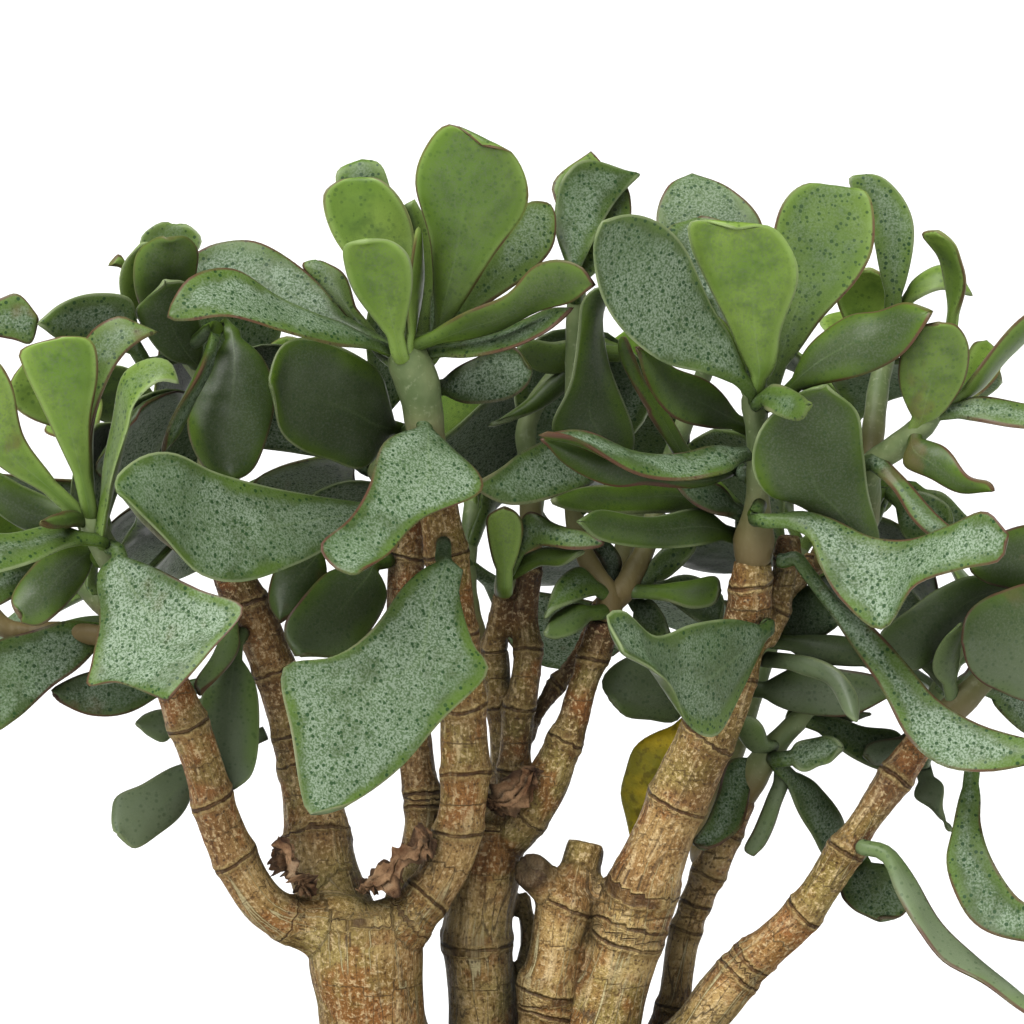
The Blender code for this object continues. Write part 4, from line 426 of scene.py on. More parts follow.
    ("shoot_left_crown", "under", 0.1, -2, -12, 0, (-56, 138.5), (-62, 130, -65, 120, -62, 112), (-49.5,
     133, -47.4, 124, -51, 112.5), (-56, 108.5)),
    ("shoot_left_crown", "top", 0.3, -12, -22, -5, (-59.5, 137), (-64, 129, -68, 120), (-60.6, 130, -65,
     121.5), (-70, 114.2)),
    ("leaf_17", "under", 0.1, 4, -4, 0, (-38, 95), (-46, 93, -48.7, 86), (-37, 89, -42, 83), (-46.5,
     80)),
    ("leaf_18", "under", 0, 3, -14, 0, (-28, 91.5), (-36, 91, -43, 84, -45.6, 79), (-24.6, 85.5, -30,
     76.4, -36, 72.8), (-42.5, 73.5)),
    ("shoot_small_centre", "under", 1, -8, -12, 0, (-1.5, 87.5), (-4, 93, -5.2, 100.5, -3.5, 102.6), (1,
     93, 2.3, 99, 1, 102.3), (-1.6, 103.5)),
    ("shoot_small_centre", "top", 0.5, -5, -16, 2, (0, 92), (3, 102.2, 9, 100, 15, 98.4), (5, 95.5, 12,
     94.7, 17, 95.2), (18.6, 96.4)),
    ("shoot_small_centre", "under", 0.5, -2, -10, 0, (0, 90.5), (5, 95, 10, 95), (5, 91.6, 10, 91.6),
     (14.6, 94.5)),
    ("shoot_inner", "top", 0.4, -2, -10, 2, (18.5, 86), (14, 91.5, 9, 88.4), (14, 85, 9, 82.8), (6.4,
     81)),
    ("shoot_inner", "under", 0.1, -4, -10, 2, (17.2, 82.3), (13, 84, 8.5, 82.3), (13, 78.2, 9, 77.2),
     (6.3, 78)),
    ("shoot_inner", "top", 0.3, 6, 10, 0, (20, 88), (15.5, 95.6, 12, 95), (22, 92, 19, 97), (14, 98)),
    ("shoot_inner", "under", 0.4, 0, -8, 2, (25.5, 86.5), (30, 87.5, 35, 88.8, 40, 89.8), (31, 84.6, 36,
     82.9, 40.6, 83.8), (41.7, 87)),
    ("shoot_inner", "top", 0.5, 3, 6, 0, (26, 88), (28, 93, 33, 97), (31, 89, 36, 94), (37, 97)),
    ("shoot_inner", "top", 0.2, 10, 6, 0, (25, 84), (24.5, 81, 27, 77), (28.5, 84.5, 31.5, 79), (31.3,
     77.2)),
    ("shoot_inner", "top", 0.2, 14, 12, 0, (27, 87), (32, 84, 38, 80), (35, 90, 42, 86), (42, 80)),
    ("shoot_centre_right", "under", 0, -6, -20, 2, (45, 97.5), (38, 103, 28, 101.6, 18, 103), (36, 95.4,
     26, 95.6, 17, 97), (12.8, 100.5)),
    ("shoot_centre_right", "under", 0.1, 6, -10, 2, (43, 103), (32, 108.2, 22, 107.6, 14, 107.5), (34,
     102.4, 22, 101.6, 13, 102.8), (7.6, 104.8)),
    ("shoot_centre_right", "top", 0.2, -13, -16, 2, (46.6, 101.5), (42, 107, 36, 109), (41, 101.6, 36,
     104.6), (31.4, 108.7)),
    ("shoot_centre_right", "under", 0.2, -10, -22, 2, (47.5, 119), (40, 128, 33, 131.3, 28, 135), (39,
     119.2, 32, 121.5, 27, 129), (24.6, 135.5)),
    ("shoot_centre_right", "under", 0.1, 4, -2, 0, (37, 111), (32, 120, 27, 128, 23, 137), (33, 114, 24,
     128, 21.5, 134), (21.8, 137.5)),
    ("shoot_inner_top", "under", 0.4, 14, 8, 0, (14.6, 134.4), (8, 129.6, 2, 124), (14, 130, 8, 124.3, 2,
     121.3), (-5, 119.5)),
    ("shoot_inner_top", "under", 0.6, 14, 10, 0, (22, 134), (13, 136.8, 8, 136.4, 3, 136.9), (14, 132, 9,
     130, 4, 131), (0.5, 134.6)),
    ("shoot_low_right", "under", 0.6, 0, -6, -2, (51.6, 55.4), (50, 60, 47.6, 61.8), (48, 54.4, 45.2,
     57.4), (45.2, 61)),
    ("shoot_low_right", "top", 0.4, 12, 10, 0, (50, 53), (43.6, 52.8, 41, 46, 38.5, 40, 36, 36), (48, 48,
     46, 40, 42, 36), (38.4, 35.4)),
    ("shoot_low_right", "under", 0.7, 2, 0, 0, (54, 49.5), (51, 45, 48.3, 39, 46.4, 35), (54.6, 47.5, 53,
     41, 50.8, 36), (48.4, 33.5)),
    ("shoot_low_right", "top", 0.4, 0, 6, 2, (53.5, 51.5), (59, 49.6, 62, 47, 66.5, 39.5), (56, 45, 59.6,
     38.5, 61.8, 34), (65, 33)),
    ("shoot_low_right", "top", 0.4, -3, -6, 2, (54.5, 53), (57.5, 56.3, 62, 57.7, 65.3, 56.7), (58, 50.4,
     61, 51.6, 64, 52.2), (66.3, 55.3)),
    ("shoot_low_right", "top", 0.5, 2, 6, 2, (58.5, 61), (64, 61.4, 70, 59.6, 77, 58.6), (63, 56.8, 69,
     52.8, 75, 50.6), (79.5, 54)),
    ("shoot_low_right", "under", 0.9, 6, 8, 0, (57, 62), (62, 64, 68, 63), (62, 60, 68, 60.4), (72, 62)),
    ("leaf_23", "under", 0.1, 6, 0, 0, (81, 58), (77, 57.4, 72, 56.2), (77, 53, 72.5, 51.7), (70.2,
     53.8)),
    ("shoot_far_right", "under", 0.1, 4, -8, 0, (104, 88), (93, 89.8, 86, 87.3, 80, 83, 74, 78.4), (96,
     83.5, 88, 76.6, 83, 71.6, 77.5, 70.6), (73.6, 74)),
    ("shoot_far_right", "under", 0.2, -6, -12, 0, (115, 92), (106, 99.5, 98, 98.4, 93, 94), (106, 86.4,
     98, 87.3, 94, 88.7), (91.5, 91)),
    ("shoot_far_right", "under", 0.2, -12, -24, 0, (116, 76), (107, 87.5, 98, 86.3, 92, 82.5), (107,
     64.5, 97, 66.8, 92.2, 70.5), (89.8, 76.5)),
    ("shoot_far_right", "top", 0.3, 0, 6, 0, (95.5, 67), (100, 68.5, 106, 66), (97, 63, 103, 58), (108,
     60)),
    ("shoot_far_right", "under", 0.7, -8, -12, -2, (88, 66), (84.4, 70.5, 86.5, 77), (89.5, 72, 90.5,
     78), (90, 80.3)),
    ("shoot_far_right", "under", 0.5, 0, 4, 0, (88, 67), (82, 71, 80, 76), (86, 72, 85, 77), (81.5, 79)),
    ("leaf_25", "under", 0.1, -17, -34, 3, (70.3, 35.3), (75, 35.8, 79.3, 31, 85, 20.5, 93, 13.2, 102,
     6.5), (74.5, 32, 77, 26, 80.8, 19, 86, 12, 94, 7.8, 102, 2.5), (112, -2.5)),
    ("leaf_26", "top", 0.5, -2, -6, 0, (70, 32.5), (66.5, 29.5, 65.8, 25.6, 69, 22.2), (76, 31, 79.3, 25,
     78, 21.6), (73.5, 21)),
    ("leaf_27", "top", 0.3, -20, -34, 0, (92.3, 53), (89.6, 46, 88, 39, 86.8, 33, 88.2, 27, 92, 20.5, 98,
     17.2), (93.7, 46, 93.8, 40, 96, 33, 101, 25.5, 107, 21.5), (109, 15.5)),
    ("leaf_28", "under", 0.3, -2, -6, 0, (82.4, 50.5), (86.2, 48, 86.2, 42.6), (80.4, 45.6, 84, 43),
     (87.9, 38.4)),
    ("leaf_29", "under", 0.2, 10, 4, 0, (36, 71), (30, 74.5, 23, 73.4, 18.6, 69.5), (33.5, 61, 27.5,
     60.8, 22.6, 61.6), (19.5, 65)),
    ("leaf_30", "under", 0.2, 8, 0, 0, (48, 67), (58, 72, 66, 71, 73, 69.5), (54, 63, 62, 61.6, 69, 62),
     (76.5, 66)),
    ("leaf_31", "top", 0.3, 6, 0, 0, (54.5, 88), (60, 87.4, 64, 83.6), (53.2, 80, 54, 76, 59, 75.7),
     (65.4, 79.8)),
    ("leaf_32", "under", 0.1, 2, 0, 2, (52, 76.5), (60, 78.2, 68, 77.2), (60, 73, 68, 71.3), (75, 71.6)),
    ("shoot_left", "top", 0.6, -29, -46, 2, (-85.2, 100.5), (-88, 102.3, -92, 101.8), (-88, 99.6, -92,
     99), (-94.5, 100.3)),
    ("shoot_left", "under", 0.1, -16, -14, 0, (-84, 101), (-91, 104.4, -98, 107.6, -104, 111), (-90,
     98.8, -97, 98.4, -104, 103), (-107.5, 108)),
    ("shoot_left", "under", 0, -20, -26, 0, (-83, 95), (-91, 96, -97.2, 90, -100, 85), (-85.5, 88, -91,
     82, -95, 79.5), (-98.4, 81)),
    ("shoot_left", "top", 0.3, -12, -24, 0, (-88, 95), (-95, 93, -102, 92.4, -108, 90), (-95, 89, -101,
     84.6, -107, 82), (-110.5, 85)),
    ("shoot_far_left", "top", 0.1, -6, -20, 2, (-79, 80), (-88, 80.4, -96, 78.6, -103, 76.8, -108, 73),
     (-86, 71.6, -92, 67.4, -99, 61, -105, 58), (-110, 63)),
    ("shoot_far_left", "under", 0.2, 2, -6, 2, (-76, 81), (-86, 81.6, -94, 79.4), (-86, 77, -94, 76.4),
     (-101, 77.5)),
    ("leaf_37", "top", 0.3, 2, -4, 0, (-68, 67), (-76, 71.5, -85, 70.5, -91.4, 67.4), (-77, 62.2, -84,
     61.6, -90, 64), (-91.8, 66)),
    ("leaf_38", "under", 0.6, 10, 8, 0, (-65.5, 62), (-70, 63, -73.5, 62), (-69, 56.5, -72.5, 57.4),
     (-75.4, 60)),
    ("leaf_39", "under", 0.4, 6, -2, 0, (-62, 53), (-68, 51.4, -74, 48, -79.4, 45), (-65, 43, -71, 37.6,
     -76, 35), (-79, 38)),
    ("leaf_40", "under", 0.3, 0, -10, 0, (-55.5, 75), (-61.6, 67, -62.2, 59, -60, 50), (-51.2, 68, -50.6,
     57, -52, 49.6), (-55.6, 46.8)),
    ("leaf_41", "under", 0.5, 8, 6, 0, (-56.5, 82), (-60, 74, -63.6, 68), (-54.4, 76, -58.5, 69.4),
     (-62.4, 65.6)),
    ("shoot_right_crown", "top", 0.2, 2, -4, 0, (76, 106), (82, 106.6, 87.4, 103.8), (79, 97, 85.4, 98),
     (88.2, 100.3)),
    ("shoot_right_crown", "top", 0.5, 10, 12, 0, (80, 107), (86, 106.4, 90.6, 102), (84, 98.6, 90, 98.6),
     (92.6, 100)),
    ("dry_leaf_1", "top", 1, -9, -16, 2, (-39, 25.5), (-43, 25.5, -48, 28, -50.5, 31.5), (-38.5, 30, -40,
     35, -44, 37), (-49, 35.5)),
    ("dry_leaf_2", "top", 1, -14, -20, 2, (-30, 27), (-27, 32, -23, 37, -20.5, 39.8), (-24, 26, -20, 29,
     -17.5, 34), (-17.5, 38.5)),
    ("dry_leaf_3", "top", 1, -8, -9, 1, (-4, 43.5), (-5, 46, -4, 49, -1, 50), (0, 43, 3, 44.5, 4, 47),
     (3, 49.5)),
    ("yellow_leaf", "under", 1, 0, 2, 1, (35.5, 60.5), (29, 58.5, 24.5, 55.5, 22.6, 50.5, 21.6, 46, 22.6,
     41.5), (33, 54, 30, 49, 28.4, 43.5, 26.6, 39.6), (23.8, 36.8)),
]





# Woody stems: name and, from the root up, picture x and z, depth and radius. Below 0 they lie in the soil.
WOOD = {
    "A": [(-6, -36, 0, 11), (-18, -18, -5, 11), (-27, -4, -9, 10.8), (-28.4, 6, -10, 10.9), (-29.4, 14,
        -10, 11.6), (-30, 22, -9, 10)],
    "A1": [(-31, 17, -10, 8), (-38, 19.6, -11, 6.8), (-44.5, 21, -13, 4.9), (-50, 24.6, -15, 4.6),
        (-54.8, 31.8, -17, 4.5), (-58.6, 41, -19, 4.4), (-62, 52, -21, 4.1), (-65.6, 61.6, -23, 3.9),
        (-68, 68, -24, 3.5), (-72, 78, -25, 2.9)],
    "A2": [(-33, 18, -3, 7.4), (-37.4, 30, 0, 7.2), (-39.4, 42, 3, 6.4), (-43.6, 57, 5, 4.2), (-46, 65,
        5, 4.1), (-48.4, 73, 5, 4.5), (-51.6, 81, 5, 4.7), (-55.4, 89, 5, 4.4), (-59.5, 99, 5, 3.6)],
    "A3": [(-26, 17, -11, 7.5), (-19.5, 22.6, -13, 5.3), (-14.6, 29, -14, 5), (-11, 38, -14, 4.9), (-9.6,
        48, -14, 4.7), (-9.4, 57, -14, 4.7), (-10, 70, -14, 4.5), (-11.6, 83, -14, 4.4), (-13.4, 96, -15,
        4.3), (-16, 111, -16.4, 3.8)],
    "A4": [(-22, 20, -4, 5), (-17.4, 40, 0, 3.8), (-19, 52, 3, 3.7), (-20.6, 66, 6, 3.7), (-21.3, 82, 8,
        3.8), (-21.2, 95, 10, 3.6), (-21, 103, 10, 3.3)],
    "B": [(-1, -36, 2, 9), (-4.6, -14, 2, 8), (-5.8, 0, 1, 7.2), (-6.6, 12, 0, 6.9), (-6.8, 17, 0, 7.2),
        (-6.4, 22, 0, 7), (-5.2, 32, 0, 7.4), (-3, 41, 0, 6)],
    "B1": [(-4, 38, 6, 3), (-2.6, 50, 8, 2), (-2.4, 60, 8, 2.4), (-3.4, 72, 8, 3), (-3.6, 76, 7, 2.4),
        (-1.8, 86, 3, 2.1)],
    "B2": [(-1, 38, 1, 4.6), (0.3, 50, 2, 3.3), (1.2, 62, 3, 3.2), (2.2, 66, 3, 2.8), (3.4, 74.5, 4,
        2.9), (2.6, 82, 5, 2.9), (3.4, 92, 6, 2.7)],
    "B3": [(-0.5, 38, -1, 5.4), (4.2, 44, -2, 4.6), (8, 50.5, -3, 4.3), (10.8, 57, -3, 3.6), (12.4, 61,
        -3, 3.1), (14, 67, -3, 3.1), (16, 73, -2, 3.3), (18.4, 80.5, -2, 3.2)],
    "B4": [(3, 57, 5, 1.8), (5, 62, 8, 1.7), (9, 68, 12, 1.7), (13.5, 74, 15, 1.7), (20, 88, 22, 1.8)],
    "C": [(2, -36, -6, 6), (4, -14, -8, 5.4), (6.4, 2, -8, 5.3), (6.6, 7, -8, 5.7), (8, 12, -8, 5.2),
        (9.6, 20, -8, 5.4), (11.6, 27, -8, 5.8)],
    "Cstub": [(11.6, 24, -6, 4.6), (13.6, 31, -5, 4.3), (14.8, 36.3, -4, 3.9)],
    "Cknob": [(8.6, 26, -8, 3.6), (5, 30, -10, 3.8), (3.2, 31.2, -12, 3.7)],
    "Cback": [(3, -36, 4, 3.2), (3, -10, 4, 2.8), (3, 10, 4, 2.2), (3.4, 18, 5, 2), (1.8, 26, 4, 2)],
    "D": [(5, -36, 0, 9), (12, -16, -3, 8.4), (18, 0, -6, 7.8), (21, 10, -7, 7.2), (24, 20, -8, 7.1),
        (25.2, 24, -8, 7.5), (26.2, 28, -9, 7.2), (28.8, 34, -9, 6.2), (33.4, 45, -10, 6.2), (38.6, 57,
        -12, 6), (43, 66, -13, 4.9), (46, 76, -13, 4.8), (47.6, 84, -14, 4.4), (48.2, 93, -15, 4.1)],
    "Dtwin": [(50, 76, -11, 3), (53, 84, -9, 3), (54.8, 92, -8, 2.7), (55.2, 97.5, -8, 2.5)],
    "Dback": [(46.5, 74, -8, 3), (52, 84, 4, 2.6), (61, 92.5, 8, 2.4)],
    "E": [(12, -36, 6, 6), (24, -16, 6, 5), (31.4, 0, 5, 3.9), (33.2, 10, 5, 3.2), (34.6, 18, 5, 3.4),
        (37.4, 26, 5, 3.2), (41, 34, 5, 3.4), (46, 45.5, 4.7, 3.1)],
    "F": [(18, -36, -2, 7), (30, -10, -4, 6), (37.6, 0.4, -6, 5), (42.4, 6.6, -7, 4.9), (47.6, 12.4, -8,
        4.6), (52, 16, -9, 4.2), (58, 22, -10, 3.9), (63, 28.8, -11, 3.6), (67.4, 35.6, -12, 3.7), (70.6,
        40.6, -12, 3.4), (75, 47, -12, 3.4), (79.8, 53.8, -11, 3.3), (83, 57.6, -9, 3.1)],
}


# Green stems of the leafy shoots: the wood each springs from, then its line.
SHOOTS = {
    "shoot_centre_left": ("A3",
        [(-16.9, 115.5, -16.9, 3.6), (-17.6, 121, -17.6, 3.7), (-18.6, 127, -18.4, 4.1),
         (-20.4, 132, -19.4, 4.2), (-22.4, 136, -20.5, 2.6)]),
    "shoot_centre_right": ("D",
        [(48.4, 97, -15.3, 3.9), (48.9, 101, -16.2, 3.1), (49.1, 104, -17, 2.4), (49.1, 110, -19, 2.1),
         (49, 118, -21, 2.1), (48.6, 124, -22, 2.6), (49, 128, -22, 2)]),
    "shoot_left_crown": ("A2",
        [(-60, 104, 5, 2.8), (-60.4, 116, 4, 2.5), (-61, 128, 2, 2.4), (-66, 136, 3, 2.3),
         (-70, 141, 5, 1.8)]),
    "shoot_left": ("A1",
        [(-75, 84, -26, 2.8), (-79, 91, -28, 2.6), (-83, 98, -30, 2.6), (-85, 104, -30, 1.9)]),
    "shoot_right_crown": ("Dback",
        [(66, 93.5, 0, 2.3), (69.5, 96.5, -9, 2.4), (71.2, 103, -15, 2.4), (71.6, 111, -20, 2.5),
         (77, 115.5, -24, 2.4), (82, 119.5, -26, 2.3), (84.6, 122.4, -26, 1.8)]),
    "shoot_far_right": ("F",
        [(86.4, 61.2, -7.6, 3), (91, 65.6, -6, 2.7), (94.5, 69, -5, 2.4), (98, 71, -6, 2.3),
         (104, 76, -8, 2.2), (110, 85, -6, 2.1), (114, 94, -4, 1.8)]),
    "shoot_far_left": ("A1",
        [(-78, 77.4, -14, 2), (-90, 78.4, -8, 2), (-102, 79.6, -7, 2), (-111, 94, -8, 2),
         (-115, 112, -9, 1.9), (-115, 132, -10, 1.7)]),
    "shoot_small_centre": ("B1",
        [(-1.4, 88.4, 1, 2), (-0.8, 92, -1, 1.6)]),
    "shoot_inner": ("B3",
        [(19.6, 84, -1, 2.7), (18.8, 87, 0, 2.2), (16, 91, 1.6, 2), (12.8, 99, 3, 1.9),
         (12.4, 110, 4, 1.8), (12.4, 126, 4, 1.8), (12.8, 142, 4, 1.9), (13, 150, 5, 1.6)]),
    "shoot_inner_top": ("B2",
        [(3.8, 98, 8, 2.3), (3.6, 110, 11, 2), (3, 120, 14, 2), (9, 130, 17, 1.7), (18, 136, 17, 1.5)]),
    "shoot_low_right": ("E",
        [(47.6, 48.6, 4.4, 3.1), (50.4, 53, 3.4, 2.8), (54, 57.4, 2, 2.2), (57.5, 61, 2, 2),
         (60, 63.4, 4, 1.6)]),
}

# Second stems that grow out of the shoots above.
FORKS = {
    "shoot_inner": [
        [(19.6, 84, -1, 2.4), (22.4, 87, 1, 2.4), (24, 90, 3, 2.3), (27, 96, 7, 2), (30, 108, 12, 1.9),
         (36, 124, 13, 1.8), (40, 134, 12, 1.6)]],
    "shoot_right_crown": [
        [(71.6, 109, -18, 2.2), (72.2, 118, -14, 2.2), (73.8, 130, -7, 2), (77, 141, 0, 1.7)],
        [(83, 120.5, -25, 1.7), (87, 130, -16, 1.5), (88.4, 138.4, -9, 1.4)]],
}

# Shoots on the far side, given one by one: the wood, the stem's line, how many pairs of leaves, and a word
# that picks the way the pairs are turned.
FAR_SHOOTS = {
    "shoot_back_1": ("A4",
        [(-25, 108, 16, 2.2), (-29, 114, 26, 2), (-32, 120, 34, 1.7)], 3, "shoot_back_18"),
    "shoot_back_2": ("A2",
        [(-60, 92, 16, 2.2), (-72, 101, 30, 2), (-82, 114, 38, 1.7)], 3, "shoot_back_212"),
    "shoot_back_3": ("B2",
        [(2, 88, 20, 2.2), (4, 100, 36, 2), (6, 116, 46, 1.7)], 3, "shoot_back_310"),
    "shoot_back_4": ("Dback",
        [(64, 98, 18, 2.2), (66, 111, 32, 2), (68, 132, 42, 1.7)], 3, "shoot_back_45"),
    "shoot_back_5": ("B4",
        [(22, 94, 26, 2), (25, 102, 40, 1.9), (28, 116, 52, 1.7)], 3, "shoot_back_58"),
    "shoot_back_6": ("A4",
        [(-28, 76, 18, 2.2), (-47, 94, 38, 2), (-64, 116, 58, 1.7)], 3, "shoot_back_67"),
    "shoot_back_7": ("F",
        [(72, 42, 2, 2.3), (76, 48, 18, 2.2), (84, 64, 28, 2), (92, 80, 34, 1.7)], 3, "shoot_back_7"),
    "shoot_back_8": ("E",
        [(38, 36, 16, 2.2), (47, 62, 32, 2), (58, 96, 46, 1.7)], 3, "shoot_back_8"),
    "shoot_back_9": ("B1",
        [(-6, 74, 20, 2.2), (-9, 87, 38, 2), (-8, 104, 52, 1.7)], 3, "shoot_back_9"),
    "shoot_back_10": ("A2",
        [(-62, 80, 14, 2.2), (-78, 81, 22, 2), (-90, 92, 26, 1.7)], 3, "shoot_back_1014"),
}


def nearest_on(line, point):
    """The nearest point of a stem's line, how far along it that is, and the stem's radius there."""
    best = None
    for i, ((a, ra), (b, rb)) in enumerate(zip(line, line[1:])):
        t = max(0.0, min(1.0, (point - a).dot(b - a) / (b - a).length_squared))
        at = a.lerp(b, t)
        if best is None or (at - point).length < best[0]:
            best = ((at - point).length, at, ra + (rb - ra) * t, i + t)
    return best[1], best[2], best[3]


def stem_line(rows):
    """A stem's points and radii in space, from its row of picture places, depths and radii."""
    return [(seen(x, z, y), radius) for x, z, y, radius in rows]


def tree_of(solid):
    """A search tree of a solid's triangles."""
    return BVHTree.FromPolygons([tuple(p) for p in solid[0]], solid[1], all_triangles=True)


def box_of(points):
    """The lowest and the highest corner of some points."""
    return ([min(p[k] for p in points) for k in range(3)], [max(p[k] for p in points) for k in range(3)])


def apart(one, other):
    """Whether two boxes are clear of each other."""
    return any(one[0][k] > other[1][k] or other[0][k] > one[1][k] for k in range(3))


class Garden:
    """What has been placed so far, and the test that a new piece is clear of it."""

    def __init__(self):
        """Nothing is placed yet."""
        self.pieces = []

    def add(self, node, solid, outer=None):
        """Places a solid. outer is the part that mustn't cross leaves on its own shoot."""
        self.pieces.append((node, tree_of(solid), box_of(solid[0]), tree_of(outer) if outer else None))

    def hits(self, node, solid, outer=None):
        """How many triangle pairs cross a piece of another node, or the outer part of one on its own."""
        count, box, tree = 0, box_of(solid[0]), tree_of(solid)
        outer_tree = tree_of(outer) if outer else None
        for other, other_tree, other_box, other_outer in self.pieces:
            if apart(box, other_box):
                continue
            if other != node:
                count += len(tree.overlap(other_tree))
            elif outer_tree and other_outer:
                count += len(outer_tree.overlap(other_outer))
        return count


def outer_part(solid):
    """A leaf's solid without its first rings."""
    points, faces = solid
    first = MEETING_RINGS * 2 * (LEAF_STEPS + 1)
    return points, [f for f in faces if min(f) >= first]


class GrownLeaf(Leaf):
    """A leaf placed by rule, not read from the photo. It is swung by turning it about its base."""

    def __init__(self, shoot, youth, base, ahead, upper, length, width, number):
        """A leaf at base that grows along ahead, with its upper face towards upper."""
        super().__init__(shoot, "top", youth, 0, 0, 0, None, (), (), None, number)
        self.at, self.ahead = base, ahead.normalized()
        self.upper = (upper - self.ahead * upper.dot(self.ahead)).normalized()
        self.length, self.width = length, width
        self.turned = (0.0, 0.0)
        rng = random.Random(number * 7 + 1)
        self.bend = rng.uniform(-0.12, 0.22)
        self.twist = rng.uniform(-0.3, 0.3)

    def edge_curves(self, count):
        """The two edges as evenly spread points in space, from the base to the tip."""
        pitch, yaw = self.turned
        side = self.ahead.cross(self.upper)
        ahead = Quaternion(side, pitch) @ Quaternion(self.upper, yaw) @ self.ahead
        upper = Quaternion(side, pitch) @ self.upper
        side = ahead.cross(upper)
        curves = []
        for sign in (1, -1):
            points = [self.at]
            for u, share in ((0.3, 0.42), (0.55, 0.86), (0.75, 1.0), (0.92, 0.72)):
                rise = self.bend * self.length * (u - u * u * 1.7)
                across = Quaternion(ahead, self.twist * u) @ side
                points.append(self.at + ahead * self.length * u + upper * rise
                              + across * sign * self.width / 2 * share)
            points.append(self.at + ahead * self.length + upper * self.bend * self.length * -0.7)
            curves.append(curve_through(points, count))
        return curves


def swings(leaf):
    """The ways to move a leaf, from none at all to far. A leaf read from the photo only moves in depth."""
    if isinstance(leaf, GrownLeaf):
        for step in range(1, 9):
            for pitch, yaw in ((0, 1), (0, -1), (1, 0), (-1, 0), (1, 1), (-1, 1), (1, -1), (-1, -1)):
                yield pitch * step * 0.09, yaw * step * 0.09
        return
    for step in range(1, 15):
        for tip, base in ((1, 0), (-1, 0), (1, 0.35), (-1, -0.35), (1, 1), (-1, -1)):
            if abs(tip) * step * 2 < 29 and abs(base) * step * 2 < 12:
                yield tip * step * 2.0, base * step * 2.0


def cad_rows(leaf):
    """How many rows a leaf gets in the model: long ones more."""
    if isinstance(leaf, GrownLeaf):
        length = leaf.length * 0.8
    else:
        length = math.dist(leaf.base, leaf.tip)
    return 5 if length > 36 else 4 if length > 22 else 3


def settle(leaf, garden, roots):
    """Moves the leaf until it is clear of what is placed, then places it. Returns the crossings left."""
    plain = list(leaf.depths)
    best = None
    tries = [(0.0, 0.0)] + list(swings(leaf))
    for first, second in tries:
        if isinstance(leaf, GrownLeaf):
            leaf.turned = (first, second)
        else:
            leaf.depths = [plain[0] + second, plain[1] + first, plain[2]]
        leaf.root = roots(leaf)
        thick = leaf_solid(leaf, cad_rows(leaf), LEAF_STEPS, CLEARANCE)
        crossings = garden.hits(leaf.shoot, thick, outer_part(thick))
        if best is None or crossings < best[0]:
            best = (crossings, (first, second))
        if crossings == 0:
            break
    if isinstance(leaf, GrownLeaf):
        leaf.turned = best[1]
    else:
        leaf.depths = [plain[0] + best[1][1], plain[1] + best[1][0], plain[2]]
    leaf.root = roots(leaf)
    solid = leaf_solid(leaf, cad_rows(leaf), LEAF_STEPS)
    garden.add(leaf.shoot, solid, outer_part(solid))
    return best[0]


def stem_start(wood, source, point, radius, garden):
    """Where a shoot's stem leaves its wood, from its end or its side, just clear of the bark."""
    at, bark, share = nearest_on(wood[source], point)
    ahead = (point - at).normalized()
    at_end = share > len(wood[source]) - 1.02
    start = at + ahead * ((0 if at_end else bark) + STEM_GAP)
    while (point - start).length > 1.0:
        tube = tube_solid([start, point], [radius + CLEARANCE] * 2, STEM_SIDES)
        if not garden.hits("", tube):
            break
        start = start + ahead * 0.3
    return start


def plant():
    """All stems and leaves in place: wood lines, shoot lines by node, and leaves."""
    wood = {name: stem_line(rows) for name, rows in WOOD.items()}
    garden = Garden()
    for name, line in wood.items():
        garden.add("trunk", tube_solid([p for p, r in line], [r * RING_SWELL for p, r in line], 8))
    stems = {}
    far = {name: (source, rows) for name, (source, rows, pairs, kind) in FAR_SHOOTS.items()}
    for name, (source, rows) in list(SHOOTS.items()) + list(far.items()):
        line = stem_line(rows)
        start = stem_start(wood, source, line[0][0], line[0][1] * 0.95, garden)
        stems[name] = [[(start, line[0][1] * 0.95)] + line]
        for fork in FORKS.get(name, ()):
            stems[name].append(stem_line(fork))
    left = {}
    for name, lines in stems.items():
        for number, line in enumerate(lines):
            tube = tube_solid([p for p, r in line], [r + CLEARANCE for p, r in line], STEM_SIDES)
            if garden.hits(name, tube):
                left[(number, name)] = "stem"
            garden.add(name, tube_solid([p for p, r in line], [r for p, r in line], STEM_SIDES))

    def roots(leaf):
        """Where the leaf's stalk starts, on its shoot's stem or off the bark. A fallen leaf has none."""
        if leaf.shoot.startswith("dry"):
            return None
        base = leaf.at if isinstance(leaf, GrownLeaf) else seen(*leaf.base, leaf.depths[0])
        first, second = leaf.edge_curves(EDGE_STEPS)
        behind = base - ((first[1] + second[1]) / 2 - base).normalized() * PETIOLE * 1.5
        if leaf.shoot in stems:
            spots = [nearest_on(line, behind) for line in stems[leaf.shoot]]
            return min(spots, key=lambda spot: (spot[0] - behind).length)[0]
        spots = [nearest_on(line, behind) for line in wood.values()]
        at, radius = min(spots, key=lambda spot: (spot[0] - behind).length - spot[1])[:2]
        return at + (base - at).normalized() * (radius * RING_SWELL + ROOT_GAP)

    leaves = []
    for number, row in enumerate(SEEN):
        leaves.append(Leaf(*row, number))
    for name, (source, rows, pairs, kind) in FAR_SHOOTS.items():
        leaves += shoot_leaves(name, stems[name][0], pairs, kind, len(leaves))
    kept = []
    for leaf in leaves:
        crossings = settle(leaf, garden, roots)
        if crossings and isinstance(leaf, GrownLeaf):
            garden.pieces.pop()
            continue
        kept.append(leaf)
        if crossings:
            left[(leaf.number, leaf.shoot)] = crossings
    return wood, stems, kept, left


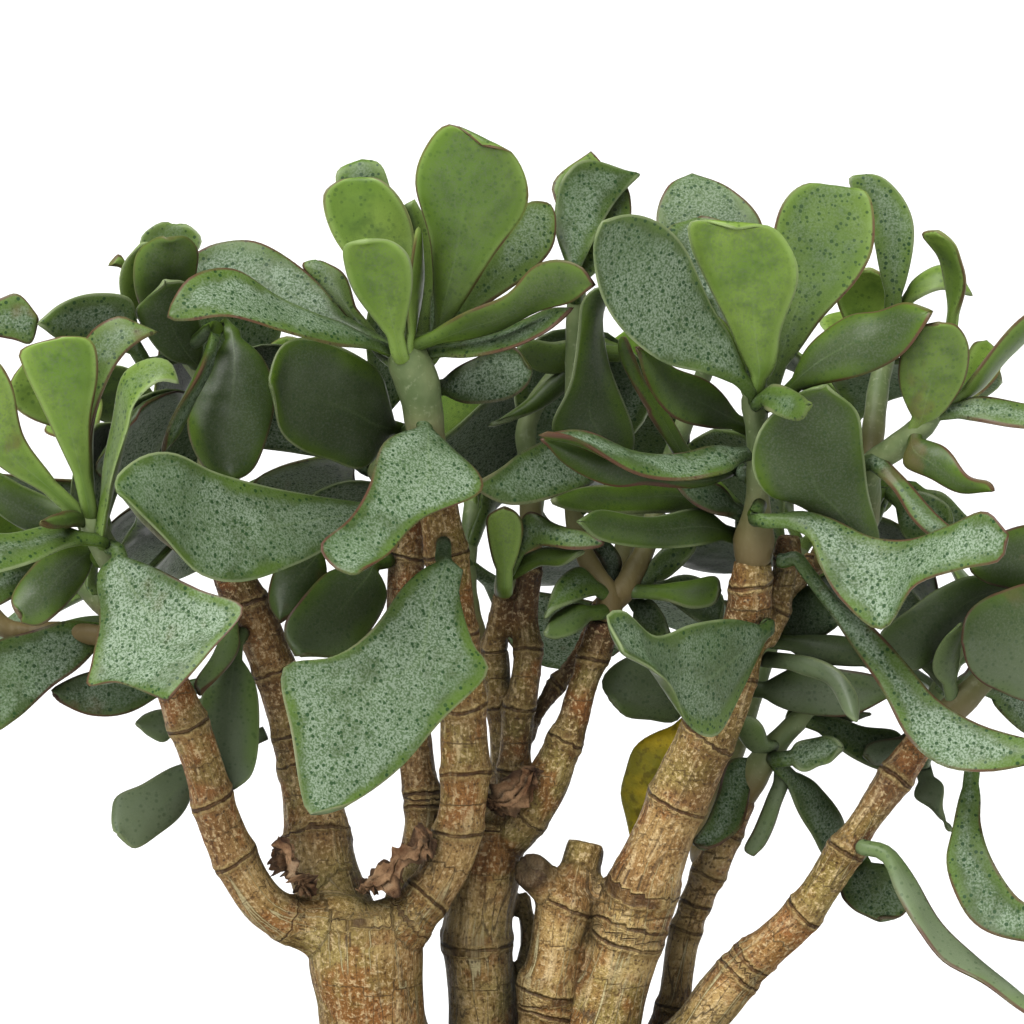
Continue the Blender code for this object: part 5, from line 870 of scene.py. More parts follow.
def shoot_leaves(name, line, pairs, kind, number):
    """Leaves in crossed pairs up a stem, larger below, as the plant grows them."""
    rng = random.Random(kind)
    out = []
    points = [place for place, _ in line]
    ahead = (points[-1] - points[-2]).normalized()
    across = ahead.cross(Vector((rng.uniform(-1, 1), rng.uniform(-1, 1), 0.3))).normalized()
    for pair in range(pairs):
        at = points[-1] - ahead * (pair * PAIR_STEP + 0.5)
        across = Quaternion(ahead, math.radians(90 + rng.uniform(-12, 12))) @ across
        open_by = math.radians(PAIR_ANGLES[pair] + rng.uniform(-8, 8))
        for sign in (1, -1):
            lean = (ahead * math.cos(open_by) + across * sign * math.sin(open_by)).normalized()
            length = PAIR_LENGTHS[pair] * rng.uniform(0.9, 1.12)
            width = length * rng.uniform(0.56, 0.7)
            out.append(GrownLeaf(name, PAIR_YOUTH[pair], at + lean * 2.2, lean, ahead, length, width,
                                 number + len(out)))
    return out


def oval(length, width, z, count=POT_POINTS, corner=POT_CORNER):
    """A ring of points on a rounded oval about the pot's middle."""
    ring = []
    for k in range(count):
        turn = 2 * math.pi * k / count
        c, s = math.cos(turn), math.sin(turn)
        reach = (abs(c) ** corner + abs(s) ** corner) ** (-1 / corner)
        ring.append(Vector((CENTRE_X + length / 2 * reach * c, CENTRE_Y + width / 2 * reach * s, z)))
    return ring


def lathe(rings):
    """Rings joined one after the other and closed with a fan at each end."""
    points, faces, count = [], [], len(rings[0])
    for ring in rings:
        points += ring
    for i in range(len(rings) - 1):
        for k in range(count):
            a, b = i * count + k, i * count + (k + 1) % count
            faces += [(a, b, b + count), (a, b + count, a + count)]
    first, last = len(points), len(points) + 1
    points += [sum(rings[0], Vector()) / count, sum(rings[-1], Vector()) / count]
    top = (len(rings) - 1) * count
    for k in range(count):
        faces.append((first, (k + 1) % count, k))
        faces.append((last, top + k, top + (k + 1) % count))
    return points, faces


def block(middle, size):
    """A box given by its middle and its size."""
    x, y, z = (s / 2 for s in size)
    points = [middle + Vector((i * x, j * y, k * z)) for i in (-1, 1) for j in (-1, 1) for k in (-1, 1)]
    faces = [(0, 1, 3, 2), (4, 6, 7, 5), (0, 4, 5, 1), (2, 3, 7, 6), (0, 2, 6, 4), (1, 5, 7, 3)]
    return points, faces


def rod(x, y, z, top, radius, sides):
    """An upright rod from z to top."""
    return tube_solid([Vector((x, y, z)), Vector((x, y, top))], [radius, radius], sides)


def inside(z):
    """How much smaller the pot's hollow is than its rim at this height, in length and in width."""
    floor = POT_FOOT + POT_FLOOR
    profile = ((floor, 2 * POT_TAPER + 8), (floor + 3, 2 * POT_TAPER), (POT_HEIGHT / 2, POT_TAPER),
               (POT_HEIGHT - 2, 5), (POT_HEIGHT, 3))
    for (low, wide), (high, narrow) in zip(profile, profile[1:]):
        if z <= high:
            return 2 * POT_WALL + wide + (narrow - wide) * max(0, z - low) / (high - low)
    return 2 * POT_WALL + profile[-1][1]


# Steps along and across a fine leaf, for a large, a small and a dry one, rows of its stalk, sides of a green
# stem, of a woody one and of the pot, and how closely stems are sampled.
LARGE_LEAF = (34, 16)
SMALL_LEAF = (20, 10)
DRY_LEAF = (90, 40)
STALK_ROWS = 5
TUBE_SIDES = 20
BARK_SIDES = 18
POT_SIDES = 160
SOIL_SIDES = 120
STEM_STEP = 1.6
BARK_STEP = 2.0
BARK_VOXEL = 0.95
# A leaf's stem joint comes about every so many millimetres, and swells the stem by this share.
JOINT_EVERY = 7
JOINT_SWELL = 0.07
# Shape across a fine leaf: the share of its thickness that the rim keeps, and how much its tip is thinner.
RIM_SHARE = 0.36
FINE_TIP_THINNER = 0.4
# A leaf's depth at its foot, in millimetres, from which it counts as far away and is made with fewer steps.
FAR_LEAF = 8
# How far from a leaf-scar ring the bark is marked, which is the range that its colour layer holds.
RING_REACH = 8.0
RING_RANGE = 2 * RING_REACH
GRAIN_WIDTH = 40
GRAIN_LENGTH = 200
FULL_TURN = 6.2832
# Loose grains of soil: how many, their sizes, and the share that is pale.
GRAINS = 3200
GRAIN_SIZES = (0.6, 0.8, 1.0, 1.3, 1.8, 2.4)
PALE_GRAINS = 0.07
SOIL_STEPS = 26
# Light: the strength of the dim sky overhead and of the two suns. Floor: half its width in metres, the
# paper's grey tone near the pot, a painted shadow pool that also dims the light bounced up from below,
# and from where to where it pales.
SKY = 0.13
KEY = 4.6
FRONT = 0.4
FLOOR_HALF = 40.0
SHADED_NEAR_PAPER = (0.52, 0.52, 0.52)
WHITE = (1.0, 1.0, 1.0)
PAPER_FROM = 0.12
PAPER_TO = 0.5
# The near-black colour of the shade painted between close surfaces, and how many rays find them.
PAINTED_CREVICE_SHADE = (0.003, 0.005, 0.002)
CREVICE_RAYS = 3

# Heights in the photo of the leaf-scar rings on each stem, and the broken stem whose end is painted dark as
# shade.
SHADED_STUB = "Cknob"
RINGS = {
    "A": (20.5,), "A1": (23.5, 36.5, 48.5, 63.7, 76), "A2": (37, 50.5, 57, 70, 83.5, 95),
    "A3": (23, 28, 41, 52.5, 66, 80, 96), "A4": (43, 46, 62, 78, 92), "B": (17, 39), "B1": (62, 74.5),
    "B2": (50, 63, 74.5, 90), "B3": (42, 57, 73.5, 84), "B4": (66, 80), "C": (4, 8.5, 26),
    "D": (18.8, 22, 28.8, 46, 59.5, 71, 80.5, 90), "Dtwin": (84, 94), "Dback": (80, 91),
    "E": (2.5, 18, 23, 29, 37.5, 46, 53), "F": (11.5, 14.8, 24.5, 37, 51.5, 60),
}


def placed(point):
    """A point of the photo's frame, in the row frame and in metres."""
    return ((point.x - CENTRE_X) * MM, (point.y - CENTRE_Y) * MM, point.z * MM)


def make_mesh(name, points, faces, layers, slots=None, materials=()):
    """A smooth mesh object with one float colour layer for each name in layers."""
    mesh = bpy.data.meshes.new(name)
    mesh.from_pydata([placed(p) for p in points], [], faces)
    mesh.polygons.foreach_set("use_smooth", [True] * len(mesh.polygons))
    for layer, values in layers.items():
        made = mesh.color_attributes.new(layer, "FLOAT_COLOR", "POINT")
        made.data.foreach_set("color", np.array(values, np.float32).reshape(-1))
    for look in materials:
        mesh.materials.append(look)
    if slots is not None:
        mesh.polygons.foreach_set("material_index", slots)
    made = bpy.data.objects.new(name, mesh)
    bpy.context.scene.collection.objects.link(made)
    return made


def stand_for(piece, node):
    """Let a fine piece take the place of a plain node: hang it from the root and hide the node."""
    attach(piece, "root")
    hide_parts(node)


class Build:
    """Points, faces, layers and material slots gathered for one piece."""

    def __init__(self):
        """Start with nothing."""
        self.points, self.faces, self.slots = [], [], []
        self.look, self.flow = [], []

    def add(self, points, faces, look, flow, slot):
        """Join one shape to the piece."""
        start = len(self.points)
        self.points += points
        self.faces += [tuple(start + k for k in face) for face in faces]
        self.slots += [slot] * len(faces)
        self.look += look
        self.flow += flow

    def finish(self, name, materials):
        """Make the object."""
        return make_mesh(name, self.points, self.faces, {"look": self.look, "flow": self.flow},
                         self.slots, materials)


def bend_between(start, out, end, ahead, steps):
    """Points on a smooth curve from start, leaving along out, to end, arriving along ahead."""
    reach = (end - start).length * 0.45
    a, b, c, d = start, start + out * reach, end - ahead * reach, end
    points = []
    for i in range(steps):
        t = i / steps
        points.append(a * (1 - t) ** 3 + b * 3 * t * (1 - t) ** 2 + c * 3 * t * t * (1 - t) + d * t ** 3)
    return points


def fine_leaf(leaf, along, across):
    """The leaf's two faces in detail: a fleshy blade with a thin rim, and its stalk. Also the two layers:
    look has distance from the edge, upper side, youth and a number of its own, flow has u, v and length."""
    stations = [math.sin(math.pi / 2 * (2 * j / across - 1)) for j in range(across + 1)]
    rows = leaf.surface(along, stations)
    own = random.Random(leaf.number * 3 + 5).random()
    count = across + 1
    length = sum((a[across // 2][0] - b[across // 2][0]).length for a, b in zip(rows, rows[1:]))
    points, faces, look, flow = [], [], [], []
    flesh = LEAF_THICK * (1 - YOUNG_THINNER * leaf.youth)
    rings = []
    for i, row in enumerate(rows[:-1]):
        u = i / along
        wide = (row[0][0] - row[-1][0]).length
        after, before = rows[i + 1], rows[max(i - 1, 0)]
        ring = []
        for j, (p, n, _, v) in enumerate(row):
            ahead = after[j][0] - before[j][0]
            side = row[min(j + 1, across)][0] - row[max(j - 1, 0)][0]
            normal = ahead.cross(side)
            normal = normal.normalized() if normal.length > 1e-6 else n
            if normal.dot(n) < 0:
                normal.negate()
            near_tip = max(0.0, (u - 0.9) / 0.1)
            lens = RIM_SHARE * math.sqrt(max(0.0, 1 - v ** 8)) + (1 - RIM_SHARE) * (1 - abs(v) ** 1.7)
            thick = flesh / 2 * (1 - FINE_TIP_THINNER * u) * lens * math.sqrt(1 - near_tip ** 2)
            edge = min((1 - abs(v)) * wide / 2, (1 - u) * length)
            ring.append((p, normal, thick, edge, u, v))
        rings.append(ring)
    base_row = rings[0]
    middle = base_row[across // 2]
    if leaf.root is not None and (middle[0] - leaf.root).length > 0.6:
        stalk = (middle[0] - leaf.root).normalized()
        blade = (rows[1][across // 2][0] - middle[0]).normalized()
        side = (base_row[-1][0] - base_row[0][0]).normalized()
        up = middle[1]
        line = bend_between(leaf.root, (stalk * 2 + blade).normalized(), middle[0], blade, STALK_ROWS)
        extra = []
        for k, at in enumerate(line):
            t = k / STALK_ROWS
            ahead = (line[min(k + 1, STALK_ROWS - 1)] - line[max(k - 1, 0)]).normalized()
            across_ring = (side - ahead * side.dot(ahead)).normalized()
            lift = (up - ahead * up.dot(ahead) - across_ring * up.dot(across_ring)).normalized()
            ring = []
            for j, v in enumerate(stations):
                thick = flesh / 2 * math.sqrt(max(0.0, 1 - v * v))
                place = at + across_ring * v * PETIOLE / 2 * (0.86 + 0.14 * t)
                edge = (1 - abs(v)) * PETIOLE / 2
                ring.append((place, lift, thick * (1.15 - 0.15 * t), edge, -0.1 * (1 - t), v))
            extra.append(ring)
        rings = extra + rings
    for ring in rings:
        for face in (1, -1):
            for p, n, thick, edge, u, v in ring:
                points.append(p + n * face * thick)
                upper = 1.0 if face > 0 else 0.0
                look.append((min(edge, 20.0) / 20, upper, leaf.youth, own))
                flow.append((u, v * 0.5 + 0.5, length / 100, 1))
    tip = rows[-1][across // 2][0]
    points.append(tip)
    look.append((0, 0.5, leaf.youth, own))
    flow.append((1, 0.5, length / 100, 1))
    for i in range(len(rings) - 1):
        a, b = i * 2 * count, (i + 1) * 2 * count
        for j in range(across):
            faces.append((a + j, a + j + 1, b + j + 1, b + j))
            faces.append((a + count + j + 1, a + count + j, b + count + j, b + count + j + 1))
        faces.append((a + count, a, b, b + count))
        faces.append((a + across, a + count + across, b + count + across, b + across))
    last, end = (len(rings) - 1) * 2 * count, len(points) - 1
    for j in range(across):
        faces.append((last + j, last + j + 1, end))
        faces.append((last + count + j + 1, last + count + j, end))
    faces.append((last + count, last, end))
    faces.append((last + across, last + count + across, end))
    for j in range(across):
        faces.append((j + 1, j, count + j, count + j + 1))
    volume = 0
    for face in faces:
        for k in range(1, len(face) - 1):
            volume += points[face[0]].dot(points[face[k]].cross(points[face[k + 1]]))
    if volume < 0:
        faces = [face[::-1] for face in faces]
    return points, faces, look, flow


def smooth_line(line, step):
    """A stem's centre line and radii, resampled about every step millimetres along a smooth curve."""
    points = [Vector((p.x, p.y, p.z, r)) for p, r in line]
    length = sum((b.to_3d() - a.to_3d()).length for a, b in zip(points, points[1:]))
    count = max(3, round(length / step))
    fine = curve_through(points, count)
    return [(Vector(p[:3]), p[3]) for p in fine]


def fine_tube(line, sides, rings=()):
    """A stem tube with rounded ends and slight swellings at the given shares of its length."""
    fine = smooth_line(line, STEM_STEP)
    total = len(fine) - 1
    swollen = []
    for i, (p, r) in enumerate(fine):
        share = i / total
        bulge = sum(math.exp(-((share - ring) * total / 1.3) ** 2) for ring in rings)
        swollen.append((p, r * (1 + JOINT_SWELL * bulge)))
    first, second = swollen[0], swollen[1]
    last, before = swollen[-1], swollen[-2]
    ends = []
    for p, r, q in ((first[0], first[1], second[0]), (last[0], last[1], before[0])):
        out = (p - q).normalized()
        ends.append([(p + out * r * 0.75 * math.sin(a), r * math.cos(a)) for a in (0.45, 0.9, 1.3)])
    swollen = ends[0][::-1] + swollen + ends[1]
    return tube_solid([p for p, r in swollen], [r for p, r in swollen], sides)


def crumpled(points, flow, seed):
    """A withered leaf: its sides drawn together, and its flesh folded in sharp creases."""
    shift = Vector((seed * 3.1, seed * 1.7, seed * 0.9))
    rows = {}
    for p, (u, v, _, _) in zip(points, flow):
        rows.setdefault(round(u, 4), []).append(p)
    spine = {u: sum(row, Vector()) / len(row) for u, row in rows.items()}
    out = []
    for p, (u, v, _, _) in zip(points, flow):
        p = spine[round(u, 4)].lerp(p, 0.68)
        q = p * 0.17 + shift
        fold = Vector((noise.noise(q), noise.noise(q + shift * 2), noise.noise(q + shift * 3)))
        crease = 0.75 - abs(noise.noise(p * 0.3 + shift)) * 3.2 - abs(noise.noise(p * 0.75 + shift)) * 1.5
        ripple = math.sin(v * 19 + 5 * noise.noise(q * 2)) * 0.8
        away = p - spine[round(u, 4)]
        away = away.normalized() if away.length > 0.1 else Vector()
        out.append(p + fold * 3.6 + away * (crease * 1.25 + ripple))
    return out


def leafy_pieces(stems, leaves, looks):
    """One piece for each leafy node: its stems and its leaves, joined in one mesh."""
    nodes = {}
    for name, lines in stems.items():
        build = nodes.setdefault(name, Build())
        for line in lines:
            length = sum((b[0] - a[0]).length for a, b in zip(line, line[1:]))
            joints = max(1, round(length / JOINT_EVERY))
            rings = [(k + 0.5) / joints for k in range(joints)]
            points, faces = fine_tube(line, TUBE_SIDES, rings)
            low, high = min(p.z for p in points), max(p.z for p in points)
            look = [(1, (p.z - low) / (high - low), 0.5, 0.5) for p in points]
            build.add(points, faces, look, [(p.z / 100, 0.5, length / 100, 1) for p in points], 1)
    for leaf in leaves:
        build = nodes.setdefault(leaf.shoot, Build())
        dry = leaf.shoot.startswith("dry")
        small = isinstance(leaf, GrownLeaf) or leaf.depths[0] > FAR_LEAF
        along, across = DRY_LEAF if dry else SMALL_LEAF if small else LARGE_LEAF
        points, faces, look, flow = fine_leaf(leaf, along, across)
        if dry:
            points = crumpled(points, flow, leaf.number)
        build.add(points, faces, look, flow, 0)
    for name, build in nodes.items():
        kind = "leaf"
        for withered in ("dry", "yellow"):
            if name.startswith(withered):
                kind = withered + "_leaf"
        piece = build.finish("fine_" + name, (looks[kind], looks["green_stem"]))
        stand_for(piece, name)


def trunk_piece(wood, look):
    """All woody stems as one skin, smoothed where they fork, with leaf-scar rings and shallow furrows."""
    points, faces = [], []
    for line in wood.values():
        fine = smooth_line(line, BARK_STEP)
        tube_points, tube_faces = tube_solid([p for p, r in fine], [r for p, r in fine], BARK_SIDES)
        start = len(points)
        points += tube_points
        faces += [tuple(start + k for k in face) for face in tube_faces]
    mesh = bpy.data.meshes.new("trunk skin")
    mesh.from_pydata([placed(p) for p in points], [], faces)
    skin = bpy.data.objects.new("trunk skin", mesh)
    bpy.context.scene.collection.objects.link(skin)
    remesh = skin.modifiers.new("remesh", "REMESH")
    remesh.mode = "VOXEL"
    remesh.voxel_size = BARK_VOXEL * MM
    soften = skin.modifiers.new("soften", "SMOOTH")
    soften.factor = 0.5
    soften.iterations = 5
    bpy.context.view_layer.update()
    graph = bpy.context.evaluated_depsgraph_get()
    mesh = bpy.data.meshes.new_from_object(skin.evaluated_get(graph))
    bpy.data.objects.remove(skin)
    places = np.empty(len(mesh.vertices) * 3)
    mesh.vertices.foreach_get("co", places)
    normals = np.empty(len(mesh.vertices) * 3)
    mesh.vertices.foreach_get("normal", normals)
    places = places.reshape(-1, 3) / MM + (CENTRE_X, CENTRE_Y, 0)
    normals = normals.reshape(-1, 3)
    off, run, turn, radius, dark = on_stems(wood, places)
    lip = np.exp(-((off - 0.75) / 0.55) ** 2) + 0.8 * np.exp(-((off + 0.75) / 0.55) ** 2)
    swell = np.exp(-(off / 2.6) ** 2)
    lift = 0.26 * lip + 0.3 * swell + wave_noise(places, turn, run)
    places = places + normals * lift[:, None]
    mesh.vertices.foreach_set("co", ((places - (CENTRE_X, CENTRE_Y, 0)) * MM).reshape(-1))
    mesh.polygons.foreach_set("use_smooth", [True] * len(mesh.polygons))
    ones = np.ones(len(places))
    near = np.clip(off / RING_RANGE + 0.5, 0, 1)
    along = run / GRAIN_LENGTH
    round_x = radius * np.cos(turn * FULL_TURN) / GRAIN_WIDTH + 0.5
    round_y = radius * np.sin(turn * FULL_TURN) / GRAIN_WIDTH + 0.5
    for name, columns in (("look", (near, along, dark, ones)), ("grain", (round_x, round_y, along, ones))):
        layer = mesh.color_attributes.new(name, "FLOAT_COLOR", "POINT")
        layer.data.foreach_set("color", np.column_stack(columns).astype(np.float32).reshape(-1))
    mesh.materials.clear()
    mesh.materials.append(look)
    mesh.update()
    piece = bpy.data.objects.new("fine_trunk", mesh)
    bpy.context.scene.collection.objects.link(piece)
    stand_for(piece, "trunk")


def on_stems(wood, places):
    """For each place on the bark: its height over the nearest leaf-scar ring, how far along its stem it is,
    its angle as a share of a turn, the stem's radius there, and the painted shade at the broken stem's end."""
    best = np.full(len(places), 1e9)
    off, run = np.full(len(places), RING_REACH), np.zeros(len(places))
    turn, radii, dark = (np.zeros(len(places)) for _ in range(3))
    for name, line in wood.items():
        fine = smooth_line(line, BARK_STEP)
        far = 0.0
        rng = random.Random(name)
        scars = [(seen(0, z, 0).z, rng.uniform(-0.12, 0.12), rng.uniform(0, 6.28))
                 for z in RINGS.get(name, ())]
        for (a, ra), (b, rb) in zip(fine, fine[1:]):
            span = np.array(b - a)
            length = np.linalg.norm(span)
            ahead = span / length
            t = np.clip((places - np.array(a)) @ ahead / length, 0, 1)
            at = np.array(a) + t[:, None] * span
            out = places - at
            radius = ra + (rb - ra) * t
            distance = np.linalg.norm(out, axis=1) - radius
            nearer = distance < best
            if nearer.any():
                side = np.cross(ahead, (0.0, 1.0, 0.0))
                side /= np.linalg.norm(side)
                other = np.cross(ahead, side)
                angle = np.arctan2(out[nearer] @ other, out[nearer] @ side)
                nearest = np.full(nearer.sum(), RING_REACH)
                rise = max(0.45, abs(ahead[2]))
                for height, lean, way in scars:
                    level = height + lean * radius[nearer] * np.cos(angle - way) * 2
                    gap = (at[nearer][:, 2] - level) / rise
                    nearest = np.where(np.abs(gap) < np.abs(nearest), gap, nearest)
                best[nearer] = distance[nearer]
                off[nearer] = nearest
                run[nearer] = far + t[nearer] * length
                turn[nearer] = angle / FULL_TURN + 0.5
                radii[nearer] = radius[nearer]
                # Painted shade: the broken stem's end gets a dark ramp, as if in shadow.
                dark[nearer] = np.clip(run[nearer] / 5 - 0.4, 0, 1) if name == SHADED_STUB else 0
            far += length
    return off, run, turn, radii, dark


def wave_noise(places, turn, run):
    """Shallow furrows along the stems and a slow unevenness, in millimetres."""
    x, y, z = places.T
    slow = 0.22 * np.sin(x * 0.21 + z * 0.09) * np.sin(y * 0.24 + 1.3)
    slow += 0.16 * np.sin(z * 0.31 + x * 0.17 + 2)
    depth = 0.5 + 0.5 * np.sin(run * 0.37 + x * 0.2)
    furrow = 0.10 * np.sin(turn * FULL_TURN * 9 + 1.7 * np.sin(run * 0.21)) * depth
    return slow + furrow


class Shade:
    """A small helper to write a material's nodes as expressions."""

    def __init__(self, name):
        """Start a material with the given name."""
        self.material = bpy.data.materials.new(name)
        self.material.use_nodes = True
        self.tree = self.material.node_tree
        self.shader = self.tree.nodes["Principled BSDF"]
        self.coords = self.tree.nodes.new("ShaderNodeTexCoord").outputs["Object"]

    def node(self, kind, values=(), **settings):
        """Add a node, with values for its inputs and settings of its own."""
        made = self.tree.nodes.new(kind)
        for key, value in settings.items():
            setattr(made, key, value)
        for key, value in values:
            self.put(made.inputs[key], value)
        return made

    def put(self, socket, value):
        """Link a socket to another or give it a value."""
        if hasattr(value, "node"):
            self.tree.links.new(value, socket)
        elif isinstance(value, tuple) and len(value) == 3 and len(socket.default_value) == 4:
            socket.default_value = (*value, 1)
        else:
            socket.default_value = value

    def layer(self, name):
        """Red, green, blue and alpha of one of the mesh colour layers."""
        parts = self.node("ShaderNodeAttribute", attribute_name=name)
        split = self.node("ShaderNodeSeparateColor", [(0, parts.outputs["Color"])])
        return (*split.outputs, parts.outputs["Alpha"])

    def math(self, operation, a, b=0.0):
        """One step of arithmetic."""
        made = self.node("ShaderNodeMath", [(0, a), (1, b)], operation=operation)
        return made.outputs[0]

    def times(self, a, b):
        """The product of two values."""
        return self.math("MULTIPLY", a, b)

    def plus(self, a, b):
        """The sum of two values."""
        return self.math("ADD", a, b)

    def less(self, a, b):
        """The first value less the second."""
        return self.math("SUBTRACT", a, b)

    def range(self, value, low, high, to_low=0.0, to_high=1.0):
        """A smooth step of the value from one range to another."""
        made = self.node("ShaderNodeMapRange", [(0, value), (1, low), (2, high), (3, to_low), (4, to_high)],
                         interpolation_type="SMOOTHSTEP")
        return made.outputs[0]

    def noise(self, scale, detail=3.0, rough=0.55, where=None):
        """Cloudy noise, so many lumps to the metre."""
        where = where or self.coords
        made = self.node("ShaderNodeTexNoise", [("Vector", where), ("Scale", scale), ("Detail", detail),
                                                ("Roughness", rough)])
        return made.outputs[0]

    def stretched(self, scale, where=None):
        """Coordinates scaled by axis."""
        return self.node("ShaderNodeMapping", [(0, where or self.coords), (3, scale)]).outputs[0]

    def swirl(self, scale, where, amount):
        """A noisy shift for coordinates."""
        made = self.node("ShaderNodeTexNoise", [("Vector", where), ("Scale", scale)])
        centred = self.node("ShaderNodeVectorMath", [(0, made.outputs["Color"]), (1, (0.5, 0.5, 0.5))],
                            operation="SUBTRACT")
        grown = self.node("ShaderNodeVectorMath", [(0, centred.outputs[0])], operation="SCALE")
        grown.inputs["Scale"].default_value = amount
        return grown.outputs[0]

    def cells(self, scale, random_place=1.0, feature="F1", where=None):
        """Random cells: the distance, a colour and a place for each."""
        made = self.node("ShaderNodeTexVoronoi", [("Vector", where or self.coords), ("Scale", scale),
                                                  ("Randomness", random_place)], feature=feature)
        return made.outputs

    def mix(self, share, a, b):
        """Blend two colours."""
        made = self.node("ShaderNodeMix", [(0, share), (6, a), (7, b)], data_type="RGBA")
        return made.outputs[2]

    def bump(self, height, strength, distance):
        """Give the surface fine relief."""
        made = self.node("ShaderNodeBump", [("Height", height), ("Strength", strength),
                                            ("Distance", distance)])
        self.put(self.shader.inputs["Normal"], made.outputs[0])

    def finish(self, colour, rough, painted_shade=None, **others):
        """Set the shader, with shade painted into the colour between close surfaces, given as a reach
        and a strength.
        """
        if painted_shade:
            reach, share = painted_shade
            # Painted shade: the colour is darkened where an ambient-occlusion node finds other surfaces
            # close by.
            nearby = self.node("ShaderNodeAmbientOcclusion", [("Distance", reach)], samples=CREVICE_RAYS)
            open_sky = nearby.outputs["AO"]
            shade = self.range(open_sky, 0.92, 0.2, 0, share)
            colour = self.mix(shade, colour, PAINTED_CREVICE_SHADE)
        self.put(self.shader.inputs["Base Color"], colour)
        self.put(self.shader.inputs["Roughness"], rough)
        for key, value in others.items():
            self.put(self.shader.inputs[key.replace("_", " ")], value)
        return self.material


def leaf_look():
    """Powdery blue-grey bloom with small dark dots on the upper side, a duller underside, greener margins, a
    thin red-brown or pale rim, and fresh yellow-green flesh on the youngest leaves."""
    s = Shade("jade leaf")
    edge, upper, youth, own = s.layer("look")
    u, v, _, _ = s.layer("flow")
    broad = s.noise(48, 2)
    grain = s.noise(2400, 1, 0.6)
    mottle = s.noise(300, 3, 0.62)
    inner = s.range(s.plus(edge, s.times(s.less(broad, 0.5), 0.3)), 0.0, 0.2)
    spots = s.cells(850, 0.85)
    pick = s.node("ShaderNodeSeparateColor", [(0, spots[1])]).outputs
    size = s.plus(s.times(pick[1], 0.18), 0.12)
    dot = s.range(s.less(spots[0], size), 0.1, 0.0)
    dot = s.times(dot, s.range(pick[0], 0.0, 0.4, 0.2, 1))
    old = s.mix(inner, (0.085, 0.15, 0.014), (0.06, 0.09, 0.032))
    old = s.mix(s.range(broad, 0.35, 0.65, 0, 0.75), old, (0.033, 0.06, 0.01))
    young = s.mix(s.range(broad, 0.3, 0.7), (0.1, 0.185, 0.018), (0.19, 0.29, 0.045))
    veins = s.times(s.range(mottle, 0.4, 0.7, 0, 0.55), s.range(inner, 0.2, 1))
    young = s.mix(veins, young, (0.045, 0.095, 0.012))
    young = s.mix(s.range(edge, 0.09, 0.02, 0, 0.7), young, (0.25, 0.37, 0.09))
    body = s.mix(s.range(youth, 0.3, 0.95), old, young)
    flour = s.mix(s.range(grain, 0.36, 0.64), (0.085, 0.145, 0.065), (0.28, 0.355, 0.255))
    flour = s.mix(s.range(s.noise(38, 2, 0.6), 0.42, 0.7, 0, 0.5), flour, (0.07, 0.13, 0.04))
    here = s.times(upper, s.range(youth, 0.95, 0.3))
    worn = s.plus(inner, s.times(s.less(mottle, 0.5), 1.5))
    worn = s.plus(worn, s.times(s.less(s.noise(70, 2), 0.5), 2.2))
    here = s.times(here, s.range(worn, 0.15, 1.1, 0.2, 1))
    here = s.times(here, s.range(own, 0, 1, 0.62, 1.0))
    colour = s.mix(here, body, flour)
    low = s.times(s.less(1.0, upper), s.range(grain, 0.4, 0.75, 0, 0.4))
    height = s.node("ShaderNodeSeparateXYZ", [(0, s.coords)]).outputs[2]
    colour = s.mix(s.times(low, inner), colour, (0.12, 0.14, 0.1))
    # Painted light: the undersides of the lower leaves are paler, as if lit from the bright floor below.
    lit_low_underside = s.times(s.less(1.0, upper), s.range(height, 0.185, 0.15, 0, 0.75))
    colour = s.mix(s.times(lit_low_underside, s.range(broad, 0.3, 0.55, 0.4, 1)), colour, (0.19, 0.24, 0.14))
    dark = s.times(dot, s.plus(s.times(upper, 0.6), 0.35))
    dark = s.times(dark, s.range(youth, 1.0, 0.5, 0.35, 1))
    colour = s.mix(dark, colour, (0.018, 0.055, 0.014))
    vein = s.range(s.math("ABSOLUTE", s.less(v, 0.5)), 0.03, 0.0)
    vein = s.times(vein, s.range(u, 0.7, 0.05, 0, 0.3))
    colour = s.mix(vein, colour, (0.2, 0.28, 0.12))
    fringe = s.mix(s.range(own, 0.35, 0.5), (0.22, 0.27, 0.13), (0.1, 0.035, 0.025))
    rim = s.times(s.range(edge, 0.034, 0.012), s.range(s.noise(110, 1), 0.3, 0.6, 0.3, 1))
    rim = s.times(rim, s.range(u, 0.1, 0.35))
    colour = s.mix(s.times(rim, 0.85), colour, fringe)
    stain = s.times(s.range(s.noise(60, 3, 0.65), 0.62, 0.7), s.range(own, 0.6, 0.9, 0, 0.55))
    colour = s.mix(stain, colour, (0.13, 0.085, 0.035))
    s.bump(s.noise(150, 1), 0.45, 0.0013)
    # Shade is painted into the leaf colour where leaves and stems lie close together.
    return s.finish(colour, s.range(here, 0.1, 0.8, 0.4, 0.62), Specular_IOR_Level=0.22,
                    painted_shade=(0.035, 0.9))


def green_stem_look():
    """Pale green young stems, browner at their foot, with faint length-wise lines."""
    s = Shade("green stem")
    _, rise, _, _ = s.layer("look")
    colour = s.mix(s.range(s.noise(120, 3), 0.3, 0.7), (0.09, 0.13, 0.045), (0.17, 0.21, 0.09))
    colour = s.mix(s.range(s.noise(900, 3), 0.55, 0.75, 0, 0.5), colour, (0.26, 0.3, 0.17))
    colour = s.mix(s.range(rise, 0.6, 0.05, 0, 0.75), colour, (0.14, 0.08, 0.03))
    s.bump(s.noise(350, 4, where=s.stretched((1, 1, 0.3))), 0.5, 0.0008)
    return s.finish(colour, 0.55, Specular_IOR_Level=0.3)


